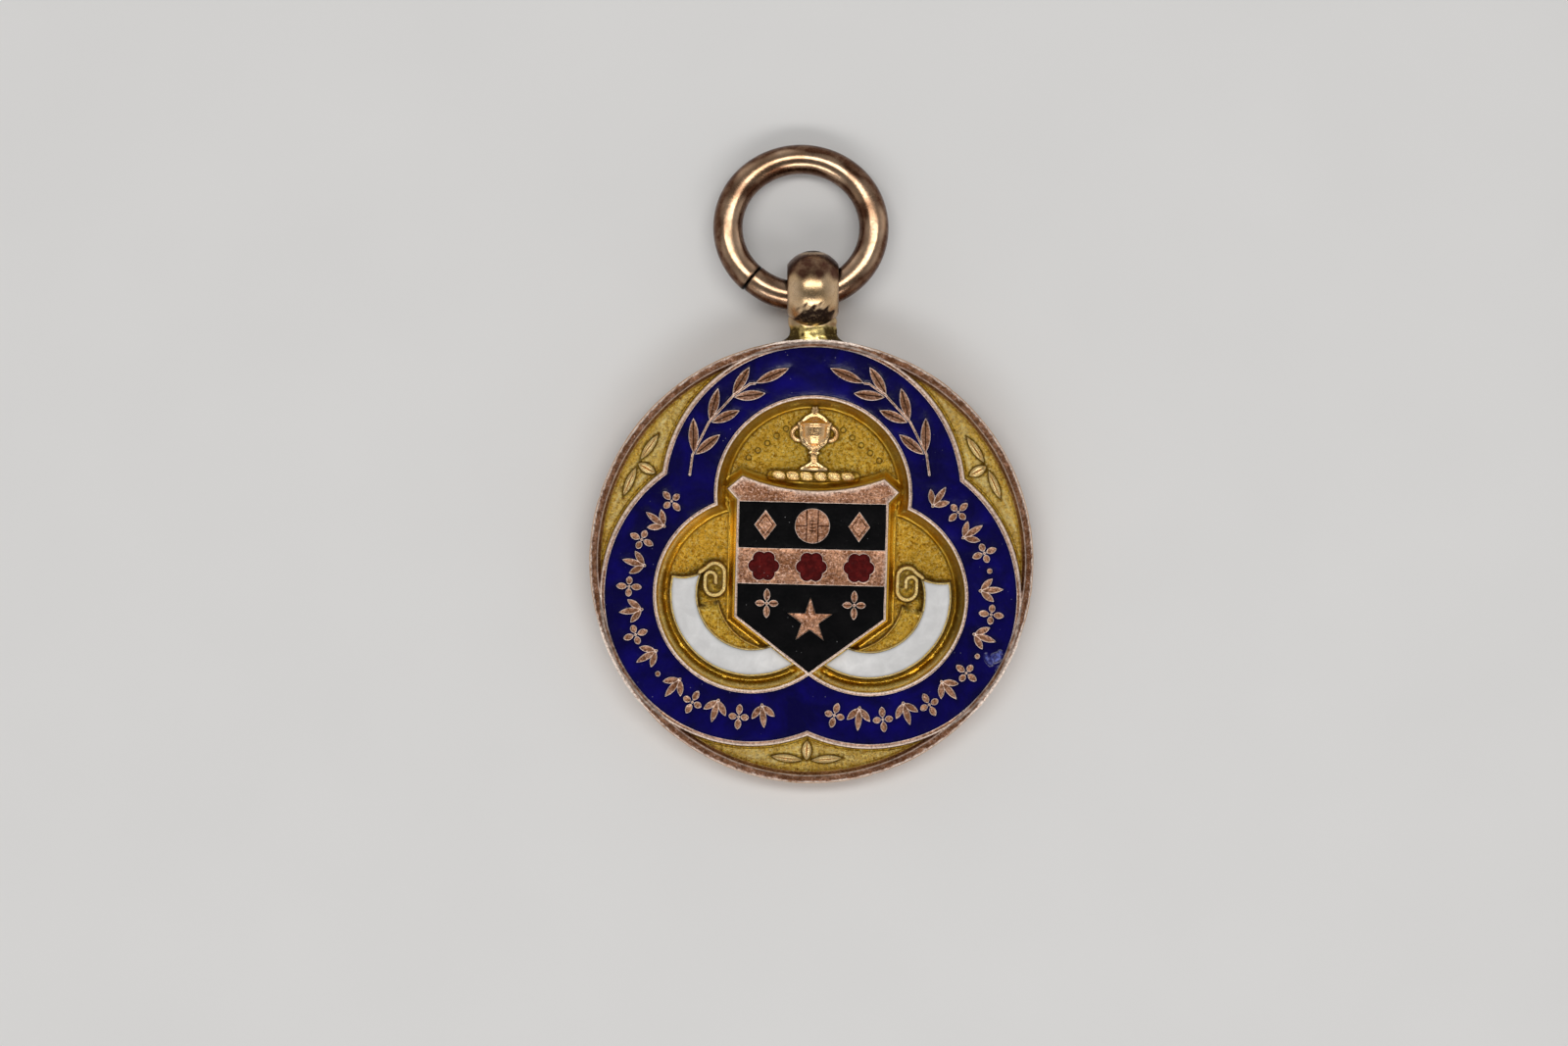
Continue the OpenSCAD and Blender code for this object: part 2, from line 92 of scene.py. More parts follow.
# A distance beyond any that matters, how far the dressed wire keeps inside the solid, and the height of
# the slow waves in polished surfaces
FAR = 9.0
SKIN = 0.004
WAVE = 0.006


def cos_sin(angle):
    """The cosine and sine of an angle in degrees."""
    return math.cos(math.radians(angle)), math.sin(math.radians(angle))


def turned(x, y, angle):
    """A point turned about the middle, with the angle in degrees."""
    c, s = cos_sin(angle)
    return (x * c - y * s, x * s + y * c)


def ripple(x, y, scale, seed):
    """A smooth wavy value of about -1 to 1 with waves of about the given scale."""
    rng = np.random.default_rng(seed)
    total = 0.0
    for _ in range(7):
        a, b, _ = rng.uniform(0, 2 * math.pi, 3)
        k = 2 * math.pi / scale * rng.uniform(0.6, 1.5)
        total = total + np.sin(k * (x * math.cos(a) + y * math.sin(a)) + b)
    return total / 3.2


def ramp(v, low, high):
    """0 at low, 1 at high, smooth between."""
    t = np.clip((v - low) / (high - low), 0, 1)
    return t * t * (3 - 2 * t)


def round_edge(d, b):
    """How far a metal top lies under its level at distance d past its edge, negative inside."""
    t = np.clip((d + b) / b, 0, 1)
    return b * (0.42 * t**1.3 + 0.58 * (1 - np.sqrt(1 - t**6))) + np.maximum(d, 0) * WALL_SLOPE


def strip(d, low, high, soft=0.018):
    """1 where d lies between two values, 0 outside them, over a short ramp."""
    return np.clip((d - low + soft) / soft, 0, 1) * np.clip((high + soft - d) / soft, 0, 1)


def bell(v, mid, width):
    """1 at mid, falling away smoothly to both sides."""
    return np.exp(-(((v - mid) / width) ** 2))


def edge_steps(b):
    """The offsets at which lines are laid along an edge that is rounded over b."""
    return (-b, -0.8 * b, -0.45 * b, -0.15 * b, 0.0, 0.03)


def arc(cx, cy, r, start, end, step):
    """Points along an arc, with the angles in degrees, both ends taken in."""
    n = max(2, int(abs(math.radians(end - start)) * r / step))
    a = np.radians(np.linspace(start, end, n + 1))
    return np.stack([cx + r * np.cos(a), cy + r * np.sin(a)], 1)


def ring_line(cx, cy, r, step):
    """A closed circle."""
    points = arc(cx, cy, r, 0, 360, step)
    points[-1] = points[0]
    return points


def straight(points, step):
    """Points along the straight lines between some corners."""
    out = [np.array(points[:1], float)]
    for a, b in zip(points[:-1], points[1:]):
        a, b = np.array(a, float), np.array(b, float)
        n = max(1, int(np.linalg.norm(b - a) / step))
        out.append(a + (b - a) * (np.arange(1, n + 1) / n)[:, None])
    return np.concatenate(out)


def from_segments(x, y, segments):
    """The distance to the nearest of some straight pieces."""
    best = np.full(np.shape(x), FAR)
    for (ax, ay), (bx, by) in segments:
        dx, dy = bx - ax, by - ay
        px, py = x - ax, y - ay
        t = np.clip((px * dx + py * dy) / (dx * dx + dy * dy), 0, 1)
        best = np.minimum(best, np.hypot(px - t * dx, py - t * dy))
    return best


def meet(p, q):
    """The point where two lines cross, each as normal x, normal y, distance."""
    det = p[0] * q[1] - p[1] * q[0]
    return ((p[2] * q[1] - p[1] * q[2]) / det, (p[0] * q[2] - p[2] * q[0]) / det)


def line_row(a, b):
    """The line through two points, with its normal to the right of the way from a to b."""
    nx, ny = b[1] - a[1], a[0] - b[0]
    k = math.hypot(nx, ny)
    return (nx / k, ny / k, (nx * a[0] + ny * a[1]) / k)


def across(row, x, y):
    return row[0] * x + row[1] * y - row[2]


class Dot:
    """A round patch."""

    def __init__(self, x, y, r):
        self.x, self.y, self.r = x, y, r

    def d(self, x, y):
        return np.hypot(x - self.x, y - self.y) - self.r

    def lines(self, c, step):
        return [ring_line(self.x, self.y, self.r + c, step)] if self.r + c > 0.02 else []


class Leaf:
    """A pointed leaf between two arcs, from a base along an angle."""

    def __init__(self, base, angle, length, width):
        self.base, self.angle, self.length, self.width = base, angle, length, width
        self.arc_r = (length**2 + width**2) / (4 * width)
        self.side = self.arc_r - width / 2

    def uv(self, x, y):
        return turned(x - self.base[0], y - self.base[1], -self.angle)

    def xy(self, uv):
        c, s = cos_sin(self.angle)
        x = self.base[0] + uv[:, 0] * c - uv[:, 1] * s
        return np.stack([x, self.base[1] + uv[:, 0] * s + uv[:, 1] * c], 1)

    def d(self, x, y):
        u, v = self.uv(x, y)
        return np.hypot(u - self.length / 2, np.abs(v) + self.side) - self.arc_r

    def lines(self, c, step):
        r = self.arc_r + c
        if r <= self.side + 0.01:
            return []
        half = math.degrees(math.acos(self.side / r))
        top = arc(self.length / 2, -self.side, r, 90 + half, 90 - half, step)
        low = top[::-1] * (1, -1)
        low[0], low[-1] = top[-1], top[0]
        return [self.xy(np.concatenate([top, low[1:]]))]

    def vein(self, step, spread=0.035):
        """Three lines along the middle, which is cut as a fine groove."""
        a, b = self.length * VEIN_END, self.length * (1 - VEIN_END)
        return [self.xy(straight([(a, v), (b, v)], step)) for v in (-spread, 0.0, spread)]

    def groove(self, x, y, spread=0.035):
        """1 at the bottom of the groove, 0 outside it."""
        u, v = self.uv(x, y)
        past = np.maximum(self.length * VEIN_END - u, u - self.length * (1 - VEIN_END))
        return np.clip(1 - np.hypot(v, np.maximum(past, 0)) / spread, 0, 1)


class Planes:
    """A convex patch inside the half planes of its corners, which run counterclockwise."""

    def __init__(self, corners):
        self.rows = [line_row(a, b) for a, b in zip(corners, corners[1:] + corners[:1])]

    def d(self, x, y):
        return np.max([nx * x + ny * y - k for nx, ny, k in self.rows], axis=0)

    def lines(self, c, step):
        rows = [(nx, ny, k + c) for nx, ny, k in self.rows]
        corners = [meet(p, q) for p, q in zip(rows[-1:] + rows[:-1], rows)]
        return [straight(corners + corners[:1], step)]


class Lobes:
    """Three equal circles on the lobes, taken together."""

    def __init__(self, r):
        self.r = r

    def d(self, x, y):
        return np.min([np.hypot(x - a, y - b) for a, b in LOBE_MIDS], axis=0) - self.r

    def lines(self, c, step):
        r = self.r + c
        cusp = LOBE_OFFSET / 2 + math.sqrt(r * r - 0.75 * LOBE_OFFSET**2)
        half = math.degrees(math.atan2(cusp * math.sin(math.radians(60)), cusp / 2 - LOBE_OFFSET))
        parts = [arc(*mid, r, a - half, a + half, step)[:-1] for mid, a in zip(LOBE_MIDS, LOBE_ANGLES)]
        closed = np.concatenate(parts)
        return [np.concatenate([closed, closed[:1]])]


LOBE_MIDS = [turned(LOBE_OFFSET, 0, a) for a in LOBE_ANGLES]


class Shield:
    """The shield with its hollow top edge and its ears."""

    half_w, top_y, top_r, shoulder_y = 4.76, 4.47, 12.1, 3.84
    side_y, tip_y = -3.56, -7.15
    ear_out, ear_up = (5.39, 4.51), (4.46, 5.32)

    def __init__(self):
        self.rows = [
            line_row((0, self.tip_y), (self.half_w, self.side_y)),
            (1.0, 0.0, self.half_w),
            line_row((self.half_w, self.shoulder_y), self.ear_out),
            line_row(self.ear_out, self.ear_up),
        ]
        self.mid_y = self.top_y + self.top_r

    def d(self, x, y):
        x = np.abs(x)
        tip, side, under_ear, ear = [across(row, x, y) for row in self.rows]
        top = self.top_r - np.hypot(x, y - self.mid_y)
        return np.max([tip, np.minimum(side, under_ear), ear, top], axis=0)

    def lines(self, c, step):
        tip, side, under_ear, ear = [(nx, ny, k + c) for nx, ny, k in self.rows]
        r = self.top_r - c
        angle = math.atan2(ear[1], ear[0]) - math.acos((ear[2] - ear[1] * self.mid_y) / r)
        end = (r * math.cos(angle), self.mid_y + r * math.sin(angle))
        right = [(0, tip[2] / tip[1]), meet(tip, side), meet(side, under_ear), meet(under_ear, ear), end]
        path = straight(right, step)
        low = math.degrees(angle)
        hollow = arc(0, self.mid_y, r, low, -180 - low, step)[1:]
        left = path[::-1][1:] * (-1, 1)
        return [np.concatenate([path, hollow, left])]


class Ribbon:
    """The left ribbon and its mirror image, round the middle of the lower lobes."""

    outer_r, inner_r, start_out, start_in, end = 5.18, 3.45, 168, 157, 306
    bow_r = 2.6

    def __init__(self):
        a = turned(self.inner_r, 0, self.start_in)
        b = turned(self.outer_r, 0, self.start_out)
        ax, ay, bx, by = *a, *b
        half = math.hypot(bx - ax, by - ay) / 2
        nx, ny = (ay - by) / (2 * half), (bx - ax) / (2 * half)
        if ny < 0:
            nx, ny = -nx, -ny
        rise = math.sqrt(self.bow_r**2 - half**2)
        self.bow = ((ax + bx) / 2 + nx * rise, (ay + by) / 2 + ny * rise)
        self.end_row = (*turned(1, 0, self.end - 270), 0.0)

    def d(self, x, y):
        qx, qy = -np.abs(x) - LOBE_MIDS[1][0], y - LOBE_MIDS[1][1]
        r = np.hypot(qx, qy)
        start = self.bow_r - np.hypot(qx - self.bow[0], qy - self.bow[1])
        return np.max([r - self.outer_r, self.inner_r - r, start, across(self.end_row, qx, qy)], axis=0)

    def cross_angle(self, r, c):
        """The angle at which the circle r meets the bow, moved out by c."""
        br, away = self.bow_r - c, math.hypot(*self.bow)
        cos_a = (r * r + away * away - br * br) / (2 * r * away)
        return math.degrees(math.atan2(self.bow[1], self.bow[0]) + math.acos(cos_a))

    def lines(self, c, step):
        inner, outer = self.inner_r - c, self.outer_r + c
        a_in, a_out = self.cross_angle(inner, c), self.cross_angle(outer, c)
        p_in, p_out = turned(inner, 0, a_in), turned(outer, 0, a_out)
        b_in, b_out = (
            math.degrees(math.atan2(p[1] - self.bow[1], p[0] - self.bow[0])) for p in (p_in, p_out)
        )
        if b_out > b_in:
            b_out -= 360
        bow = arc(*self.bow, self.bow_r - c, b_in, b_out, step)
        line = np.concatenate([
            arc(0, 0, inner, self.end, a_in, step),
            bow[1:],
            arc(0, 0, outer, a_out, self.end, step)[1:],
        ])
        line = np.concatenate([line, line[:1]])
        left = line + LOBE_MIDS[1]
        return [left, left * (-1, 1)]


class Both:
    """A patch and its mirror image."""

    def __init__(self, patch):
        self.patch = patch

    def d(self, x, y):
        return self.patch.d(-np.abs(x), y)

    def lines(self, c, step):
        lines = self.patch.lines(c, step)
        return lines + [line * (-1, 1) for line in lines]


class Fold:
    """The rolled-back edge of the left ribbon."""

    mid, r, start = (1.49, 0.22), 3.66, 195

    def d(self, x, y):
        qx, qy = x - LOBE_MIDS[1][0], y - LOBE_MIDS[1][1]
        rho = np.hypot(qx, qy)
        bite = self.r - np.hypot(qx - self.mid[0], qy - self.mid[1])
        row = (*turned(1, 0, self.start - 90), 0.0)
        return np.max([rho - Ribbon.inner_r - 0.1, bite, across(row, qx, qy)], axis=0)

    def lines(self, c, step):
        mid = np.add(self.mid, LOBE_MIDS[1])
        return [arc(*mid, self.r - c, 188, 268, step)]


def band_place(lobe_angle, angle, x, y):
    """A point of a band ornament: x along the band, y outwards, from the band's middle line."""
    mid = turned(LOBE_OFFSET, 0, lobe_angle)
    out = turned(BAND_MID + y, -x, angle)
    return (mid[0] + out[0], mid[1] + out[1])


def flower(place, turn, height, width):
    """Four leaves round a pellet; place turns its own x and y into the design's."""
    gap = 0.09
    parts = []
    for a in (0, 90, 180, 270):
        length = (0.8 if a % 180 == 0 else 1) * height / 2 - gap
        parts.append(Leaf(place(*turned(gap, 0, a)), a + turn, length, width))
    return parts + [Dot(*place(0, 0), gap + 0.03)]


def palmette(place, turn, height, width):
    """Three leaves that spread from one pellet."""
    foot = place(0, -height / 2)
    parts = [
        Leaf(foot, 90 - spread + turn, (1 if spread == 0 else 0.75) * height, width)
        for spread in (-42, 0, 42)
    ]
    return parts + [Dot(*foot, 0.13)]


# Band ornaments: lobe angle, angle of the first one, how many, first kind
ORNAMENT_RUNS = [(210, 132, 8, 0), (210, 231, 5, 1), (330, -105, 7, 0), (330, -18, 3, 1), (330, 22.5, 4, 0)]
ORNAMENT_STEP = 11.4
ORNAMENT_H = 1.68
ORNAMENT_W = 0.47
PELLETS = [(210, 221.5), (330, -27.2), (330, 13.8)]
band_marks = []
for lobe, first, count, kind in ORNAMENT_RUNS:
    for i in range(count):
        angle = first + i * ORNAMENT_STEP

        def place(x, y, lobe=lobe, angle=angle):
            return band_place(lobe, angle, x, y)

        if (i + kind) % 2 == 0:
            band_marks += flower(place, angle - 90, ORNAMENT_H, ORNAMENT_W)
        else:
            band_marks += palmette(place, angle - 90, 0.9 * ORNAMENT_H, ORNAMENT_W)
band_marks += [Dot(*band_place(lobe, angle, 0, 0), 0.2) for lobe, angle in PELLETS]

# Laurel sprigs, left one: base x, y, tip x, y; they stand straight to the loop, so they are turned back
LEAVES = [
    (-7.29, 6.82, -7.30, 9.12), (-7.22, 6.75, -5.59, 8.06), (-6.29, 8.87, -5.73, 10.99),
    (-6.19, 8.77, -4.35, 9.56), (-4.85, 10.50, -3.75, 12.30), (-4.77, 10.36, -2.72, 10.62),
    (-3.46, 11.24, -1.24, 12.22),
]
STEM = [(-7.53, 5.51), (-7.36, 6.75), (-6.33, 8.80), (-4.81, 10.46), (-3.75, 11.21), (-3.46, 11.24)]
SPRIG_AXIS = -0.12
STEM_W, LEAF_W = 0.2, 0.68
sprig_leaves, stem_dots, stem_bars = [], [], []
for side in (1, -1):

    def sprig_point(x, y, side=side):
        return turned(SPRIG_AXIS + side * x, y, math.degrees(DESIGN_TURN))

    for bx, by, tx, ty in LEAVES:
        base, tip = sprig_point(bx, by), sprig_point(tx, ty)
        run = (tip[0] - base[0], tip[1] - base[1])
        sprig_leaves.append(Leaf(base, math.degrees(math.atan2(run[1], run[0])), math.hypot(*run), LEAF_W))
    bends = [sprig_point(*p) for p in STEM]
    stem_dots += [Dot(*p, 0.58 * STEM_W) for p in bends]
    for a, b in zip(bends, bends[1:]):
        run = np.array(b) - np.array(a)
        n = np.array([-run[1], run[0]]) / np.linalg.norm(run) * STEM_W / 2
        stem_bars.append(Planes([tuple(a - n), tuple(b - n), tuple(b + n), tuple(a + n)]))

# Shield's charges
BAR_MID_Y, BAR_TOP_Y, BAR_LOW_Y, UPPER_TOP_Y = -0.3, 0.85, -1.45, 3.72
CHARGE_Y = (BAR_TOP_Y + UPPER_TOP_Y) / 2
shield = Shield()
ribbon = Ribbon()
fold = Both(Fold())
ball = Dot(0, CHARGE_Y, 1.12)
lozenges = [
    Planes([(x + 0.72, CHARGE_Y), (x, CHARGE_Y + 0.98), (x - 0.72, CHARGE_Y), (x, CHARGE_Y - 0.98)])
    for x in (-2.95, 2.95)
]


class Star:
    """A star with five points."""

    r, y = 1.6, -3.7

    def __init__(self):
        self.inner = self.r * math.sin(math.radians(18)) / math.sin(math.radians(54))
        tip, notch = (0, self.r), turned(0, self.inner, -36)
        self.row = line_row(notch, tip)

    def d(self, x, y):
        y = y - self.y
        a, rho = np.arctan2(x, y), np.hypot(x, y)
        sector = 2 * math.pi / 5
        a = np.abs(a - sector * np.round(a / sector))
        return across(self.row, rho * np.sin(a), rho * np.cos(a))

    def corners(self, k):
        """Its tips and notches, k times as far out."""
        spots = [turned(0, (self.inner if i % 2 else self.r) * k, -36 * i) for i in range(10)]
        return [(px, py + self.y) for px, py in spots]

    def lines(self, c, step):
        corners = self.corners((self.row[2] + c) / self.row[2])
        return [straight(corners + corners[:1], step)]

    def ridges(self, step):
        return [straight([(0, self.y), corner], step) for corner in self.corners(1)]


star = Star()
shield_flowers = []
for x0 in (-2.75, 2.75):

    def place(x, y, x0=x0):
        return (x0 + x, -2.65 + y)

    shield_flowers += flower(place, 0, 1.9, 0.46)
shield_leaves = [part for part in shield_flowers if isinstance(part, Leaf)]


def rosette(place_x):
    """The red cell: six lobes round a middle."""
    lobes = [turned(0.56, 0, a) for a in range(0, 360, 60)]
    return [Dot(place_x + lx, BAR_MID_Y + ly, 0.4) for lx, ly in lobes] + [Dot(place_x, BAR_MID_Y, 0.56)]


rosettes = [rosette(x) for x in (-3, 0, 3)]
rosette_dots = sum(rosettes, [])
BORDER = 0.16
inner_w = Shield.half_w - BORDER
inner_tip = (*shield.rows[0][:2], shield.rows[0][2] - BORDER)
inner_side_y = meet(inner_tip, (1.0, 0.0, inner_w))[1]
upper_cell = Planes([
    (inner_w, BAR_TOP_Y), (inner_w, UPPER_TOP_Y), (-inner_w, UPPER_TOP_Y), (-inner_w, BAR_TOP_Y),
])
lower_cell = Planes([
    (-inner_w, BAR_LOW_Y), (-inner_w, inner_side_y), (0, inner_tip[2] / inner_tip[1]),
    (inner_w, inner_side_y), (inner_w, BAR_LOW_Y),
])


class Stroke:
    """A band of one width along some points."""

    def __init__(self, points, width):
        self.points, self.half = np.array(points, float), width / 2

    def d(self, x, y):
        return from_segments(x, y, zip(self.points[:-1], self.points[1:])) - self.half

    def lines(self, c, step):
        run = np.gradient(self.points, axis=0)
        length = np.linalg.norm(run, axis=1)[:, None]
        off = np.stack([-run[:, 1], run[:, 0]], 1) * (self.half + c) / length
        return [self.points + off, self.points - off]


# Curls of the ribbons, twisted bar and cup
CURL_MID = (LOBE_MIDS[1][0] - 2.37, LOBE_MIDS[1][1] + 0.89)
CURL_W, ROLL_W = 0.25, 1.2
CURL_UP, CURL_R, CURL_IN_R = 0.4, 0.61, 0.34
CURL_STEP = 0.06


def curl_path():
    """The rolled end of the left ribbon: over its top, down beside the shield, and in to its middle."""
    mx, my = CURL_MID
    path = np.concatenate([
        [(mx - 0.95, my + 0.42), (mx - 0.72, my + 0.58)],
        arc(mx, my + CURL_UP, CURL_R, 148, 0, CURL_STEP),
        arc(mx, my - CURL_UP, CURL_R, 0, -180, CURL_STEP),
        arc(mx - 0.27, my + 0.1, CURL_IN_R, 180, 0, CURL_STEP),
        [(mx + 0.07, my - 0.25)],
    ])
    return straight(path, CURL_STEP)


curl = Both(Stroke(curl_path(), CURL_W))
roll = Both(Stroke([(CURL_MID[0], CURL_MID[1] + side * CURL_UP) for side in (1, -1)], ROLL_W))
BAR_Y, BAR_HALF, BAR_R, TWISTS = 5.39, 2.6, 0.31, 6
TWIST_X = [-BAR_HALF + (i + 0.5) * 2 * BAR_HALF / TWISTS for i in range(TWISTS)]
TWIST_HALF, TWIST_POWER = (0.42, 0.29), (2.6, 2.4)
TWIST_LEAN, TWIST_H = 0.3, 0.29
CUP_H = 4.15
CUP_FOOT_Y = BAR_Y + BAR_R
CUP_AXIS_Z = FIELD_Z - 0.3
CUP_PLATE_Z = FIELD_Z + 0.3
# One turn of the cup's outline a row, as shares of its height: radius, height
CUP = CUP_H * np.array([
    (0.0, 0.0), (0.21, 0.0), (0.21, 0.045), (0.15, 0.08), (0.055, 0.14), (0.05, 0.25), (0.095, 0.28),
    (0.055, 0.31), (0.10, 0.345), (0.19, 0.42), (0.23, 0.54), (0.24, 0.69), (0.262, 0.705),
    (0.262, 0.735), (0.22, 0.75), (0.14, 0.84), (0.05, 0.885), (0.06, 0.93), (0.035, 0.98), (0.0, 1.0),
])
HANDLES = [(side * 0.235 * CUP_H, CUP_FOOT_Y + 0.57 * CUP_H) for side in (-1, 1)]
HANDLE_R, HANDLE_WIRE = 0.42, 0.13


class Bar:
    """The outline of the twisted bar."""

    def d(self, x, y):
        return np.hypot(np.maximum(np.abs(x) - BAR_HALF, 0), y - BAR_Y) - BAR_R

    def lines(self, c, step):
        r = BAR_R + c
        ends = [arc(BAR_HALF, BAR_Y, r, -90, 90, step), arc(-BAR_HALF, BAR_Y, r, 90, 270, step)]
        top = straight([ends[0][-1], ends[1][0]], step)[1:-1]
        low = straight([ends[1][-1], ends[0][0]], step)[1:]
        return [np.concatenate([ends[0], top, ends[1], low])]


def twist(x, y, twist_x):
    """How far a point lies up a twist's side: 1 on its middle, 0 at its foot."""
    u = (x - twist_x + TWIST_LEAN * (y - BAR_Y)) / TWIST_HALF[0]
    v = (y - BAR_Y) / TWIST_HALF[1]
    return np.clip(1 - np.abs(u) ** TWIST_POWER[0] - np.abs(v) ** TWIST_POWER[1], 0, 1)


def twist_lines(twist_x):
    """Lines round one twist."""
    a = np.radians(np.arange(0, 361, 10))
    c, s = np.cos(a), np.sin(a)
    u = np.sign(c) * np.abs(c) ** (2 / TWIST_POWER[0]) * TWIST_HALF[0]
    v = np.sign(s) * np.abs(s) ** (2 / TWIST_POWER[1]) * TWIST_HALF[1]
    lines = []
    for k in (1.0, 0.96, 0.85, 0.6, 0.3):
        line = np.stack([twist_x + k * (u - TWIST_LEAN * v), BAR_Y + k * v], 1)
        line[-1] = line[0]
        lines.append(line)
    return lines


class Cup:
    """The cup's outline."""

    def radius(self, y):
        return np.interp(y - CUP_FOOT_Y, CUP[1:, 1], CUP[1:, 0], left=0, right=0)

    def d(self, x, y):
        ends = np.maximum(CUP_FOOT_Y - y, y - CUP_FOOT_Y - CUP_H)
        return np.maximum(np.abs(x) - self.radius(y), ends)

    def lines(self, c, step):
        half = [(r + c, CUP_FOOT_Y + h) for r, h in CUP[1:-1]]
        right = straight(half, step)
        return [right, right * (-1, 1)]


# Ornaments of the crescent grounds, three leaves each: the left one sits a little low
CRESCENT_R = 12.55
LEAF_START, LEAF_SPREAD = 1.2, 94.5
crescent_marks = []
for a in (30, 151.8, 270):
    crescent_marks.append(Leaf(turned(CRESCENT_R - 1.25, 0, a), a, 1.25, 0.62))
    for side in (-1, 1):
        base = turned(*turned(CRESCENT_R, 0, side * LEAF_START), a)
        crescent_marks.append(Leaf(base, a + side * (LEAF_START + LEAF_SPREAD), 2, 0.5))

# Plain round dents in two rows beside the cup
PUNCH_R = 0.2
punches = [
    Dot(side * (2.96 + 0.58 * k), 7.4 - 0.47 * k, PUNCH_R) for side in (-1, 1) for k in (-2, -1, 0, 1, 2)
]


def union(patches, x, y):
    """The distance to several patches taken together, and which one is nearest."""
    rows = np.array([patch.d(x, y) for patch in patches])
    return rows.min(0), rows.argmin(0)


outer_wire, band_out = Lobes(WIRE_OUT), Lobes(BAND_OUT)
band_in, field_edge = Lobes(BAND_IN), Lobes(WIRE_IN)
split = Lobes(BAND_IN + 0.12)
islands = band_marks + sprig_leaves + stem_dots + stem_bars
upper_charges = [ball] + lozenges
lower_charges = [star] + shield_flowers
cup, bar = Cup(), Bar()


def blue_cell(x, y):
    """The distance to the metal round the blue band, that to its islands, and which of them is nearest."""
    mark, nearest = union(islands, x, y)
    return np.maximum(np.maximum(band_out.d(x, y), -band_in.d(x, y)), -mark), mark, nearest


def ribbon_cell(x, y):
    """The distance to the metal round the white cells."""
    return np.maximum(ribbon.d(x, y) + RIBBON_BORDER, RIBBON_BORDER - shield.d(x, y))


def worn(x, y):
    """Small dents and waves of the handled metal."""
    return 0.006 * ripple(x, y, 2.2, 3) + 0.004 * ripple(x, y, 0.7, 4)


# The field's moulded slope and the foot of the shield's wall: distance, height
FIELD_SLOPE = ([-0.76, -0.66, -0.54, -0.44, -0.24, -0.11, -0.04, 0.0, 0.07],
               [FIELD_Z, 1.06, 1.12, 1.34, 1.47, 1.78, 1.86, 1.885, WIRE_Z])
ROUND_FOOT = ([0, 0.05, 0.14, 0.3, 0.42, 0.55], [SHIELD_Z - 0.07, 1.52, 1.45, 1.21, 1.1, FIELD_Z])
LAYERS = ("gilt", "edge", "grime_and_shade", "amber", "polish")


